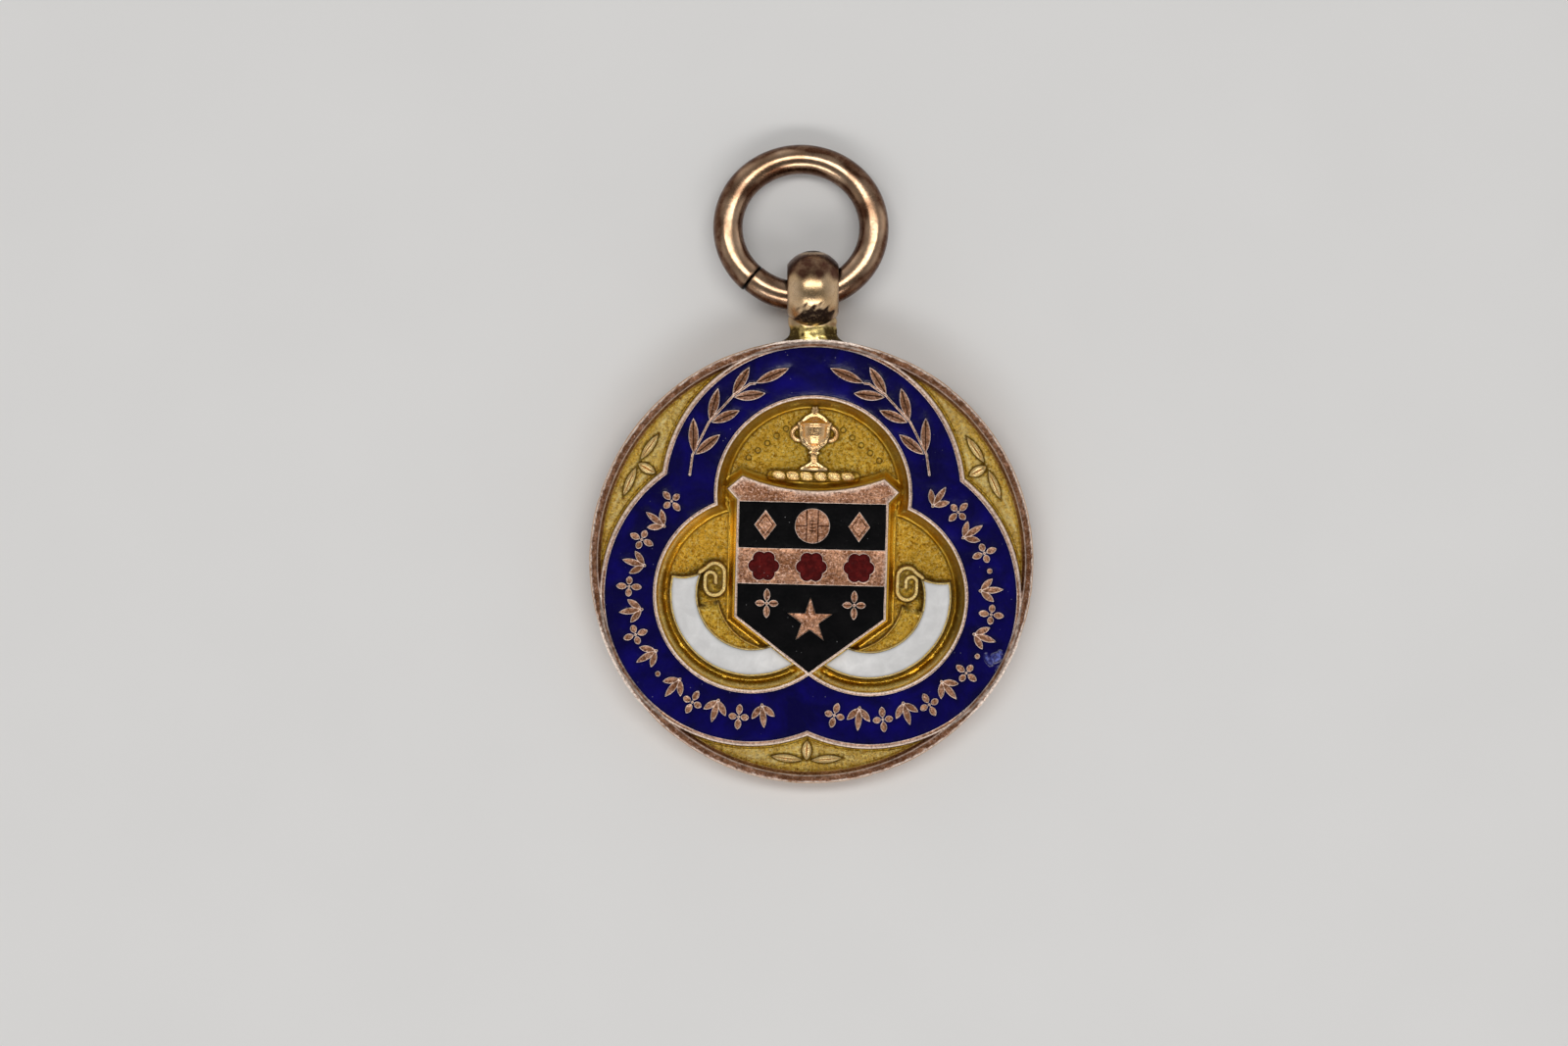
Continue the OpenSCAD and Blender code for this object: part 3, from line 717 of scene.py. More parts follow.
def relief(x, y):
    """The face's height, and how far each point is gilt, a worn edge with painted highlight, grimy with
    painted shade, amber and polished.
    """
    r = np.hypot(x, y)
    angle = np.degrees(np.arctan2(y, x))
    wire = outer_wire.d(x, y)
    face = {key: np.zeros_like(r) for key in ("z", *LAYERS)}

    def put(key, value, where=True):
        face[key] = np.where(where, value, face[key])

    def lift(key, value, where=True):
        put(key, np.maximum(face[key], value), where)

    def cut(depth, where=True):
        put("z", face["z"] - depth, where)

    # Each of these raises its own layer where that lies lower
    height, gilt, edge, grime_and_shade, amber, polish = (partial(lift, key) for key in face)

    # The lobed wire, the crescent grounds and the rim with its inner slope
    rim = WIRE_Z + (RIM_Z - WIRE_Z) * ramp(r, RIM_IN - 0.03, RIM_IN + 0.09)
    rim -= 0.07 * np.clip((r - ROLL_R) / 0.18, 0, 1) ** 2
    slope = CRESCENT_Z + (RIM_Z - CRESCENT_Z) * np.clip((r - SLOPE_R) / 0.27, 0, 1) ** 1.3
    inward = 1 - np.exp(-np.maximum(GROUND_R - r, 0) / 0.6)
    dip = 0.02 * (1 - np.exp(-np.maximum(wire, 0) / 0.6)) * inward
    channel = 0.05 * np.clip(1 - np.abs(wire - 0.2) / 0.05, 0, 1)
    put("z", np.maximum(WIRE_Z - round_edge(wire, SOFT), CRESCENT_Z - dip - channel))
    height(np.minimum(slope - dip, rim), wire > 0)
    height(rim - 0.5 * round_edge(wire, SOFT), (wire <= 0) & (r > RIM_IN - 0.03))
    put("z", rim, (wire > 0) & (r > TOP_R))
    crescent = np.clip(wire / 0.03, 0, 1) * np.clip((GROUND_R - r) / 0.08, 0, 1)
    put("gilt", crescent)
    ragged = 0.04 * ripple(x, y, 0.5, 15) + 0.03 * ripple(x, y, 0.2, 16)
    # Worn edges with painted highlights along the wire and the rim's inner and outer edges
    edge(strip(wire, -0.085, 0.015))
    edge(0.8 * strip(r, TOP_R - 0.01, TOP_R + 0.03))
    edge(strip(r + ragged, 13.86, 14.2, 0.03))
    # Painted shade at the foot of the wire, in the channel beside it and on the slope up to the rim; the
    # middle of the wire's top and the rim's top, mottled, are darkened
    grime_and_shade(crescent * strip(wire, 0.02, 0.07, 0.04))
    grime_and_shade(0.8 * crescent * strip(wire, 0.18, 0.22, 0.03))
    grime_and_shade(0.75 * strip(wire, -0.2, -0.1, 0.02) * (r < RIM_IN))
    grime_and_shade(0.75 * bell(r, SLOPE_R + 0.02, 0.05), wire > 0)
    grime_and_shade(0.5 * strip(r, 13.25, 13.44, 0.04), wire > 0)
    mottle = 0.58 + 0.36 * ramp(ripple(x, y, 0.7, 20) + 0.6 * ripple(x, y, 0.25, 27), -0.6, 0.5)
    grime_and_shade(mottle * strip(r, 13.5, 13.82, 0.03))

    # Painted highlights: bright streaks along the crescents
    halfway = wire / np.maximum(wire + SLOPE_R - r, 0.05)
    bend = 0.03 * ripple(angle / 7, 0 * angle, 1.0, 28)
    lines = bell(halfway, 0.26 + bend, 0.06) + bell(halfway, 0.7 - bend, 0.09)
    lines = np.maximum(lines, 0.6 * bell(halfway, 0.5, 0.45))
    streaks = 0.4 + 0.6 * ramp(ripple(angle / 9, 2.4 * wire, 1.0, 17), -0.3, 0.7)
    edge(crescent * streaks * lines * strip(wire, 0.26, FAR) * strip(r, 0, 13.14))

    # Ornaments of the crescents, each with a groove round it and along its middle
    for leaf in crescent_marks:
        d = leaf.d(x, y)
        dome = CRESCENT_Z - 0.04 + 0.24 * np.sqrt(np.clip(-d / 0.16, 0, 1))
        height(dome - 0.08 * leaf.groove(x, y, 0.045), d < 0)
        vein = np.where(d < 0, 0.5 * leaf.groove(x, y, 0.06), 0)
        # Painted shade in the groove round each ornament, a darker vein, and a painted highlight inside its
        # outline
        grime_and_shade(crescent * np.maximum(strip(d, -0.02, 0.08), vein))
        polish(0.8 * crescent, d < -0.03)
        put("edge", 0.75 * strip(d, -0.2, -0.03, 0.03) * crescent * (1 - vein), d < 0.07)

    # The blue cell, whose floor is hidden under the enamel, and its islands
    cell, mark, nearest = blue_cell(x, y)
    cut(np.minimum(round_edge(-cell, SOFT), CELL_DEPTH))
    # Worn edges with painted highlights round the cell's walls and islands; below, darker grooves in the
    # leaves and darker tops of the islands
    edge(strip(cell, -0.01, 0.05, 0.025))
    for i, leaf in enumerate(sprig_leaves, len(band_marks)):
        own = (nearest == i) & (mark < 0)
        cut(0.06 * leaf.groove(x, y), own)
        grime_and_shade(0.95 * leaf.groove(x, y, 0.06), own)
    cut(0.02 * np.clip((-mark - SOFT) / 0.12, 0, 1), (mark < 0) & (cell < 0))
    grime_and_shade(0.7 * strip(mark, -FAR, -0.11, 0.03))

    # The sunk field inside the lobed wire
    field = field_edge.d(x, y)
    on, near = field < 0, field < -0.1
    put("z", np.minimum(face["z"], np.interp(field, *FIELD_SLOPE)), field < 0.07)
    in_field = np.clip(-(field + 0.06) / 0.04, 0, 1)
    gilt(in_field)
    # A worn edge with painted highlight at the field's rim; on the slope below, painted shade heavier
    # towards the top and right, darker lines at its foot and partway down, and a painted highlight line that
    # is weaker where shaded
    edge(strip(field, -0.06, 0.0, 0.03))
    put("edge", 0, field < -0.12)
    amber(in_field * strip(field, -0.7, 0.0, 0.06))
    shade = ramp(y + 0.45 * x + 0.8 * ripple(x, y, 2.5, 18), -3.5, 1.5)
    grime_and_shade(0.85 * shade * in_field * strip(field, -0.62, -0.1, 0.08))
    grime_and_shade(0.9 * in_field * bell(field, -0.74, 0.07))
    grime_and_shade(0.55 * in_field * bell(field, -0.42, 0.05))
    edge((0.9 - 0.6 * shade) * in_field * bell(field, -0.27, 0.06))

    # Ribbons, their folds and curls
    ribbon_d, fold_d, roll_d, curl_d = (patch.d(x, y) for patch in (ribbon, fold, roll, curl))
    body = RIBBON_Z - np.minimum(round_edge(-ribbon_cell(x, y), FINE), CELL_DEPTH)
    body = np.minimum(body, RIBBON_Z - round_edge(ribbon_d, FINE))
    folded, curled = FIELD_Z + 0.3 - round_edge(fold_d, SOFT), RIBBON_Z - round_edge(curl_d, SOFT)
    height(RIBBON_Z - 0.14, on & (roll_d < 0))
    put("grime_and_shade", 0, on & (roll_d < 0))
    # For the ribbon, fold and curl: painted shade along the foot of each, and a worn edge with painted
    # highlight just inside it
    for top, d, dark, bright in (
        (body, ribbon_d, 0.11, 0.9), (folded, fold_d, 0.1, 0.4), (curled, curl_d, 0.06, 0.4),
    ):
        height(top, on)
        grime_and_shade(strip(d, -0.02, dark, 0.03), on)
        edge(bright * strip(d, -0.06, -0.01), on)
        put("grime_and_shade", 0, on & (d < -0.02))
        put("amber", 0, on & (d < 0))
    # Painted shade round the curl and in a line along the fold, and the curl's inside painted bright
    grime_and_shade(strip(curl_d, 0.0, 0.1, 0.03), on & (roll_d > 0))
    grime_and_shade(0.8 * bell(fold_d, -0.12, 0.04), on)
    polish(0.35 * strip(curl_d, -FAR, 0.0), on)
    put("edge", 0.55 * strip(curl_d, -FAR, -0.06, 0.03), on & (curl_d < 0))

    # Twisted bar
    bar_d = bar.d(x, y)
    height(FIELD_Z + 0.25 - round_edge(bar_d, 0.06))
    # Painted shade round the bar's foot and between the twists, and a painted highlight on the top of each
    # twist
    grime_and_shade(0.9 * strip(bar_d, -0.01, 0.06, 0.03), near)
    for twist_x in TWIST_X:
        up = twist(x, y, twist_x)
        height(FIELD_Z + 0.19 + TWIST_H * np.sqrt(up), up > 0)
        grime_and_shade(0.9 * np.exp(-up / 0.12), (bar_d < 0) & (np.abs(x - twist_x) < 0.5))
        put("grime_and_shade", 0, up > 0.3)
        polish(0.8 * ramp(up, 0.1, 0.5))
        edge(0.5 * ramp(up, 0.8, 0.97))

    # Cup with its fluted bowl and its handles, and the punch marks
    cup_d, radius, share = cup.d(x, y), cup.radius(y), (y - CUP_FOOT_Y) / CUP_H
    flute = np.abs(np.sin(6 * np.arcsin(np.clip(x / np.maximum(radius, 0.05), -1, 1))))
    bowl = CUP_AXIS_Z + np.sqrt(np.maximum(radius**2 - x**2, 0))
    bowl -= 0.05 * (1 - flute) * ramp(share, 0.36, 0.4) * (1 - ramp(share, 0.5, 0.53))
    height(bowl, cup_d < 0)
    height(CUP_PLATE_Z - round_edge(cup_d, 0.06), cup_d < 0.04)
    # Painted shade round the cup's foot, and a worn edge with painted highlight inside its outline
    grime_and_shade(strip(cup_d, -0.02, 0.07, 0.03), near)
    polish(strip(cup_d, -FAR, -0.05, 0.04))
    edge(0.35 * strip(cup_d, -0.12, -0.05, 0.03))
    # Painted shade round the handles and just inside the rims of the punch marks
    for hx, hy in HANDLES:
        off = np.abs(np.hypot(x - hx, y - hy) - HANDLE_R)
        bulge = np.sqrt(np.maximum(HANDLE_WIRE**2 - off**2, 0))
        height(FIELD_Z + 0.12 + bulge, off < HANDLE_WIRE)
        grime_and_shade(0.9 * strip(off, HANDLE_WIRE, HANDLE_WIRE + 0.05), near & (cup_d > 0))
        polish(strip(off, -1, HANDLE_WIRE - 0.03))
    for dent in punches:
        cut(0.06 * np.clip(-dent.d(x, y) / 0.1, 0, 1))
        grime_and_shade(0.85 * strip(dent.d(x, y), -0.06, 0.0, 0.03))

    # The shield and its cells
    sd = shield.d(x, y)
    height(np.interp(sd, *ROUND_FOOT))
    put("z", SHIELD_Z - round_edge(sd, 0.08), sd < 0)
    on_wall = strip(sd, 0.01, 0.5, 0.05) * near * (ribbon_d > 0)
    amber(on_wall)
    # Painted shade: the wall darker towards the top, and dark lines at its foot and partway up
    grime_and_shade(0.6 * on_wall * ramp(y + 0.5 * ripple(x, y, 1.5, 19), 2.2, 4.2))
    grime_and_shade(0.7 * bell(sd, 0.56, 0.06), near & (ribbon_d > 0))
    grime_and_shade(0.5 * bell(sd, 0.2, 0.04), near)
    put("grime_and_shade", 0, sd < 0)
    put("gilt", 0, sd < 0.02)
    # Worn edges with painted highlights on the shield's border and round its cells
    edge(strip(sd, -0.07, 0.01))
    put("edge", 0, sd < -0.09)
    cells = [
        np.maximum(around.d(x, y), -union(charges, x, y)[0])
        for around, charges in ((upper_cell, upper_charges), (lower_cell, lower_charges))
    ]
    cells = np.minimum(np.minimum(*cells), union(rosette_dots, x, y)[0])
    cut(np.minimum(round_edge(-cells, FINE), CELL_DEPTH), sd < 0)
    edge(strip(cells, -0.01, 0.035, 0.02), sd < 0)

    # Facets of the star, veins of the flowers, edges of the lozenges, and the ball with its seams
    star_d, on_ball = star.d(x, y), ball.d(x, y) < -0.05
    cut(0.1 * np.clip(1 + star_d / star.row[2], 0, 1), star_d < 0)
    grooves = [(leaf.d(x, y), leaf.groove(x, y), 0.05) for leaf in shield_leaves]
    for lozenge in lozenges:
        d = lozenge.d(x, y)
        grooves.append((d, np.clip(1 - np.abs(d + 0.2) / 0.035, 0, 1), 0.045))
    for d, groove, depth in grooves:
        cut(depth * groove, d < 0)
        grime_and_shade(0.9 * groove, d < 0)
    seam = from_segments(x, y - CHARGE_Y, SEAMS + LACES)
    seam = np.clip(1 - seam / SEAM_W, 0, 1)
    cut(0.05 * seam, on_ball)
    cut(0.03 * (np.hypot(x, y - CHARGE_Y) / ball.r) ** 2, on_ball)
    grime_and_shade(0.95 * seam, on_ball)
    return face["z"], {key: np.clip(face[key], 0, 1) for key in LAYERS}


# Seams of the ball, one a row: from x, y to x, y, from the ball's middle
SEAMS = [
    ((-0.36, -1.0), (-0.36, 1.0)), ((0.36, -1.0), (0.36, 1.0)), ((0.0, -0.42), (0.0, 0.42)),
    ((-1.05, 0.0), (-0.36, 0.0)), ((0.36, 0.0), (1.05, 0.0)),
]
LACES = [((-0.13, y), (0.13, y)) for y in (-0.3, -0.1, 0.1, 0.3)]
SEAM_W = 0.04


def area(xy, faces):
    """Twice the area of each triangle, negative where it faces down."""
    a, b, c = (xy[faces[:, i]] for i in range(3))
    return (b[:, 0] - a[:, 0]) * (c[:, 1] - a[:, 1]) - (b[:, 1] - a[:, 1]) * (c[:, 0] - a[:, 0])


def triangulate(lines, spots, keep):
    """Triangles over some lines and spots, all facing up, kept where keep is true of their middles."""
    points, edges, count = [], [], 0
    for line in lines:
        run = count + np.arange(len(line))
        edges.append(np.stack([run[:-1], run[1:]], 1))
        points.append(line)
        count += len(line)
    taken = set(map(tuple, np.floor(np.concatenate(points) / NEAR).astype(int)))
    around = [(i, j) for i in (-1, 0, 1) for j in (-1, 0, 1)]
    cells = np.floor(spots / NEAR).astype(int)
    free = [not any((i + a, j + b) in taken for a, b in around) for i, j in cells]
    coords = np.concatenate([*points, spots[free]])
    found = delaunay_2d_cdt(coords.tolist(), np.concatenate(edges).tolist(), [], 0, 1e-5, False)
    xy, faces = np.array([tuple(v) for v in found[0]]), np.array(found[2])
    faces = faces[keep(*xy[faces].mean(1).T) & (np.abs(area(xy, faces)) > 1e-9)]
    used, index = np.unique(faces, return_inverse=True)
    xy, faces = xy[used], index.reshape(-1, 3)
    down = area(xy, faces) < 0
    faces[down] = faces[down][:, ::-1]
    return xy, faces


def grid(x0, y0, x1, y1, step):
    """Spots in a grid, with every second row moved by half a step."""
    rows = np.arange(y0, y1, step * 0.87)
    cols = np.arange(x0, x1, step)
    spots = [np.stack([cols + (i % 2) * step / 2, np.full(len(cols), y)], 1) for i, y in enumerate(rows)]
    return np.concatenate(spots)


def lay(patches, offsets, step):
    """The lines of some patches at some offsets."""
    return [line for patch in patches for c in offsets for line in patch.lines(c, step)]


def disc_spots(r, step):
    spots = grid(-r, -r, r, r, step)
    return spots[np.hypot(*spots.T) < r - 0.1]


# Spacing of the points along the lines, and the room that spots keep from them
STEP = 0.1
NEAR = 0.05
FACE_R = 13.9
outward = np.array(edge_steps(SOFT))
fine = np.array(edge_steps(FINE))
RIM_CIRCLES = (13.9, 13.84, 13.78, 13.72, 13.6, 13.54, 13.5, 13.47, 13.42, 13.34, 13.27, 13.2, 13.1)
HANDLE_CIRCLES = (-0.16, -0.13, -0.1, -0.05, 0, 0.05, 0.1, 0.13, 0.16)


def seam_lines():
    """Three lines along each seam of the ball."""
    lines = []
    for segment in SEAMS + LACES:
        ends = np.array(segment)
        run = ends[1] - ends[0]
        a, b = ends + (0, CHARGE_Y)
        n = np.array([-run[1], run[0]]) / np.linalg.norm(run) * SEAM_W
        lines += [straight([a + k * n, b + k * n], STEP) for k in (-1, 0, 1)]
    return lines


def face_lines():
    """Every line of the metal face."""
    return sum([
        [ring_line(0, 0, r, 0.2) for r in RIM_CIRCLES],
        lay([outer_wire], [*outward[:-1], 0.066, 0.11, 0.15, 0.2, 0.25], STEP),
        lay([band_out], -outward, STEP),
        lay([band_in], outward, STEP),
        lay([field_edge], [-0.82, *FIELD_SLOPE[0][:-1]], STEP),
        lay([split], [0.0], STEP),
        lay(islands, outward, STEP),
        lay(sprig_leaves, [-0.18], STEP),
        [line for leaf in sprig_leaves + shield_leaves for line in leaf.vein(STEP)],
        [line for leaf in crescent_marks for line in leaf.vein(STEP, 0.045)],
        lay(crescent_marks, [-0.16, -0.08, -0.03, -0.008, 0, 0.03], STEP),
        lay([ribbon], [*fine[:-1], 0.06, 0.1], STEP),
        lay([ribbon], -RIBBON_BORDER - fine, STEP),
        lay([shield], RIBBON_BORDER + fine, STEP),
        lay([fold], [-0.16, -0.12, *outward[:-1], 0.04], STEP),
        lay([curl], [*outward[:-1], 0.066], CURL_STEP),
        lay([bar], [-0.06, -0.03, 0, 0.03, 0.07], STEP),
        [line for x in TWIST_X for line in twist_lines(x)],
        lay([cup], [-0.06, -0.03, 0, 0.036, 0.08], 0.06),
        [ring_line(hx, hy, HANDLE_R + off, 0.06) for hx, hy in HANDLES for off in HANDLE_CIRCLES],
        lay([shield], [*edge_steps(0.08)[:4], *ROUND_FOOT[0], 0.2, 0.62], STEP),
        lay(punches, [-0.1, -0.05, 0, 0.03], 0.08),
        lay([upper_cell, lower_cell], -fine, STEP),
        lay(upper_charges + lower_charges, fine, STEP),
        lay(rosette_dots, -fine, 0.06),
        star.ridges(STEP),
        lay(lozenges, [-0.165, -0.2, -0.235], STEP),
        seam_lines(),
    ], [])


def placed(points, turn):
    """Points of the disc's frame, in millimetres, to metres in the part's frame."""
    x, y, z = np.asarray(points, float).T
    if turn:
        c, s = math.cos(DESIGN_TURN), math.sin(DESIGN_TURN)
        x, y = x * c + y * s, y * c - x * s
    c, s = math.cos(REST_TILT), math.sin(REST_TILT)
    out = np.stack([x, y * c - z * s, y * s + z * c], 1) + REST_SHIFT
    return out * MM


# An edge between faces that meet at more than this many degrees is drawn sharp
SHARP_ANGLE = 40


def build(name, points, faces, layers, turn=True, place_it=True):
    """A mesh object from points in the disc's frame, with one number for each point in every layer."""
    points = placed(points, turn) if place_it else points * MM
    mesh = bpy.data.meshes.new(name)
    mesh.from_pydata(points.tolist(), [], [list(map(int, f)) for f in faces])
    for key, values in layers.items():
        mesh.attributes.new(key, "FLOAT", "POINT").data.foreach_set("value", np.asarray(values, np.float32))
    mesh.validate()
    mesh.shade_smooth()
    mesh.set_sharp_from_angle(angle=math.radians(SHARP_ANGLE))
    piece = bpy.data.objects.new(name, mesh)
    bpy.context.scene.collection.objects.link(piece)
    return piece


def border(faces):
    """The directed edges that only one triangle has."""
    edges = np.concatenate([faces[:, [0, 1]], faces[:, [1, 2]], faces[:, [2, 0]]])
    both = set(map(tuple, edges.tolist()))
    return [(a, b) for a, b in edges.tolist() if (b, a) not in both]


def nick(angle):
    """Depth of the dents in the rim at an angle, in degrees."""
    depth = 0.0
    for at, wide, deep in NICKS:
        off = (angle - at + 180) % 360 - 180
        depth = depth + deep * np.exp(-((off / wide) ** 2))
    return depth


# Dents of the rim, one a row: angle, half width, depth
NICKS = [
    (-39.0, 0.9, 0.1), (-36.4, 0.5, 0.07), (-33.5, 0.8, 0.12), (-30.2, 0.5, 0.08), (-27.5, 0.7, 0.06),
    (-72.0, 0.6, 0.05), (-118.0, 0.5, 0.04), (164.0, 0.7, 0.05), (181.5, 0.4, 0.04), (12.0, 0.6, 0.04),
    (52.0, 0.5, 0.04), (118.0, 0.5, 0.03), (-160.0, 0.6, 0.05), (-96.0, 0.4, 0.03), (-8.0, 0.5, 0.05),
]

# The disc's edge and back, one ring a row: radius, height
EDGE = [
    (13.95, 1.87), (13.985, 1.79), (14.0, 1.68), (14.0, 1.35), (14.0, 1.0), (14.0, 0.6), (14.0, 0.3),
    (13.99, 0.2), (13.945, 0.12), (13.88, 0.05), (13.8, 0.012), (13.65, 0.0), (12.6, 0.0), (11.0, 0.0),
    (9.0, 0.0), (6.8, 0.0), (4.6, 0.0), (2.4, 0.0),
]

# How far the disc's edge and back are polished, the radius of the flat back, where the rim's dents end,
# how far the worn face lies under its levels, and the waves of the old grounds and of the disc's edge
SIDE_POLISH = 0.6
BACK_R = 13.7
DENT_END_Z = 0.6
FACE_LOW = 0.008
GROUND_WAVE = 0.012
EDGE_WAVE = 0.012


def outline_of(faces, r):
    """The points along the outer border of some faces, in order."""
    follow = dict(border(faces))
    order = [max(follow, key=lambda i: r[i])]
    while follow[order[-1]] != order[0]:
        order.append(follow[order[-1]])
    return np.array(order)


def make_disc():
    """The middle of the struck face, and the disc round it: outer face, edge and plain back."""
    coarse, close = disc_spots(FACE_R, 0.3), disc_spots(GROUND_R, 0.12)
    spots = np.concatenate([
        coarse[outer_wire.d(*coarse.T) < 0.25],
        close[outer_wire.d(*close.T) > 0.25],
        grid(-1.5, CUP_FOOT_Y - 0.1, 1.5, CUP_FOOT_Y + CUP_H + 0.1, 0.07),
    ])
    xy, faces = triangulate(face_lines(), spots, lambda x, y: np.hypot(x, y) < DISC_R)
    x, y = xy.T
    r = np.hypot(x, y)
    z, layers = relief(x, y)
    gilt = layers["gilt"]
    dent = nick(np.degrees(np.arctan2(y, x))) * ramp(r, RIM_IN, 13.8)
    z = z - dent + worn(x, y) * (gilt < 0.5) - FACE_LOW
    z += GROUND_WAVE * gilt * ripple(x, y, 1.1, 8)
    middle = split.d(*xy[faces].mean(1).T) < 0
    used, index = np.unique(faces[middle], return_inverse=True)
    shown = {key: values[used] for key, values in layers.items()}
    field = build("medal_field", np.stack([x, y, z], 1)[used], index.reshape(-1, 3), shown)

    # From the face's border over the edge to the middle of the back
    faces = faces[~middle]
    last = outline_of(faces, r)
    n, total = len(last), len(x)
    rim_angle = np.arctan2(y[last], x[last])
    points, made = [np.stack([x, y, z], 1)], [faces]
    dent = nick(np.degrees(rim_angle))
    wave = EDGE_WAVE + EDGE_WAVE * ripple(DISC_R * np.cos(rim_angle), DISC_R * np.sin(rim_angle), 3.0, 5)
    following = np.roll(np.arange(n), -1)
    for ring_r, ring_z in EDGE:
        outer = ring_r > FACE_R
        fade = max(0.0, (ring_z - DENT_END_Z) / 1.3)
        rr = ring_r - (dent * fade + wave if outer else 0.0)
        height = ring_z - (0.5 * dent if ring_z > 1.6 else 0.0)
        px, py = rr * np.cos(rim_angle), rr * np.sin(rim_angle)
        if ring_r < BACK_R:
            height = WAVE + WAVE * ripple(px, py, 2.6, 6)
        points.append(np.stack([px, py, np.broadcast_to(height, n)], 1))
        ring = total + np.arange(n)
        # The face's border runs counterclockwise seen from above, and the edge goes down from it
        made.append(np.stack([last[following], last, ring], 1))
        made.append(np.stack([last[following], ring, ring[following]], 1))
        last, total = ring, total + n
    points.append(np.array([[0.0, 0.0, WAVE]]))
    made.append(np.stack([last[following], last, np.full(n, total)], 1))
    used, index = np.unique(np.concatenate(made), return_inverse=True)
    rest = np.ones(total + 1 - len(x))
    shown = {
        key: np.concatenate([values, SIDE_POLISH * rest * (key == "polish")])[used]
        for key, values in layers.items()
    }
    return field, build("medal_disc", np.concatenate(points)[used], index.reshape(-1, 3), shown)


def filled(name, lines, spots, cell, top, level):
    """A closed layer of enamel: its surface over some lines, its walls and its flat underside."""
    xy, faces = triangulate(lines, spots, lambda x, y: cell(x, y) < UNDER)
    x, y = xy.T
    z, layers = top(x, y, cell(x, y))
    n = len(x)
    low = np.full(n, level - ENAMEL_DEPTH)
    walls = [f for a, b in border(faces) for f in ((b, a, a + n), (b, a + n, b + n))]
    points = np.concatenate([np.stack([x, y, z], 1), np.stack([x, y, low], 1)])
    made = np.concatenate([faces, faces[:, ::-1] + n, np.array(walls)])
    return build(name, points, made, {k: np.concatenate([v, v]) for k, v in layers.items()})


def enamel_top(level, d, x, y, seed, sag):
    """A polished layer that rises a little to its edges; d is the distance to the metal."""
    depth = np.clip(-d, 0, 0.4)
    z = level - ENAMEL_LOW + WAVE * bell(depth, 0, 0.06) - sag * ramp(depth, 0.05, 0.4)
    return z + WAVE * ripple(x, y, 2.4, seed), {"near": np.exp(-np.clip(-d, 0, 1) / 0.1)}


# Chip in the blue enamel: its place and how far round it the mesh is finer
CHIP, CHIP_HALF = (11.68, -5.87), 1.2


def make_blue():
    """The blue band, with a chip at its edge."""
    offsets = np.array([-UNDER, 0.02, 0.07, 0.16])
    lines = lay([band_out], -offsets, STEP) + lay([band_in], offsets, STEP) + lay(islands, offsets[:3], STEP)
    x, y = CHIP
    round_chip = grid(x - CHIP_HALF, y - CHIP_HALF, x + CHIP_HALF, y + CHIP_HALF, 0.08)

    def top(x, y, d):
        z, layers = enamel_top(WIRE_Z, d, x, y, 11, 0.015)
        away = np.hypot(x - CHIP[0], y - CHIP[1]) + 0.3 * ripple(x, y, 0.7, 12)
        chip = 1 - ramp(away, 0.15, 0.6)
        return z - 0.1 * chip * (0.8 + 0.4 * ripple(x, y, 0.35, 13)), {"chip": chip, **layers}

    spots = np.concatenate([disc_spots(FACE_R, 0.3), round_chip])
    return filled("blue_layer", lines, spots, lambda x, y: blue_cell(x, y)[0], top, WIRE_Z)


def make_cell(name, outline, charges, level, seed):
    """A layer that fills the inside of an outline, round some charges."""
    offsets = np.array([-UNDER, 0.015, 0.06, 0.14])

    def cell(x, y):
        d = union(outline, x, y)[0]
        return np.maximum(d, -union(charges, x, y)[0]) if charges else d

    def top(x, y, d):
        return enamel_top(level, d, x, y, seed, 0.01)

    lines = lay(outline, -offsets, 0.07) + lay(charges, offsets, 0.07)
    return filled(name, lines, disc_spots(7.4, 0.2), cell, top, level)


class RibbonCell:
    """The white cell of one ribbon, which ends at the shield's edge."""

    def __init__(self, side):
        self.side = side

    def d(self, x, y):
        return np.where(x * self.side > 0, ribbon_cell(x, y), FAR)

    def lines(self, c, step):
        band = ribbon.lines(c - RIBBON_BORDER, step)[0 if self.side < 0 else 1]
        return [band] + shield.lines(RIBBON_BORDER - c, step)


def tube(sections, around, closed=False, flip=False):
    """Faces over some sections of points, one after another, with caps unless the tube is closed."""
    made = []
    for i in range(sections if closed else sections - 1):
        a, b = i * around, (i + 1) % sections * around
        for k in range(around):
            m = (k + 1) % around
            made.append((a + k, a + m, b + m, b + k) if flip else (a + k, b + k, b + m, a + m))
    if not closed:
        first = tuple(range(around))
        last = tuple((sections - 1) * around + k for k in first)
        made += [first[::-1], last] if flip else [first, last[::-1]]
    return made


LOOP_MID = (0.09, 17.15, 1.0)
LOOP_R, HOLE_R, LOOP_HALF = 2.43, 1.45, 1.63
CROWN_R = 1.926
LOOP_SOFT, LOOP_TURNS = 0.045, 160


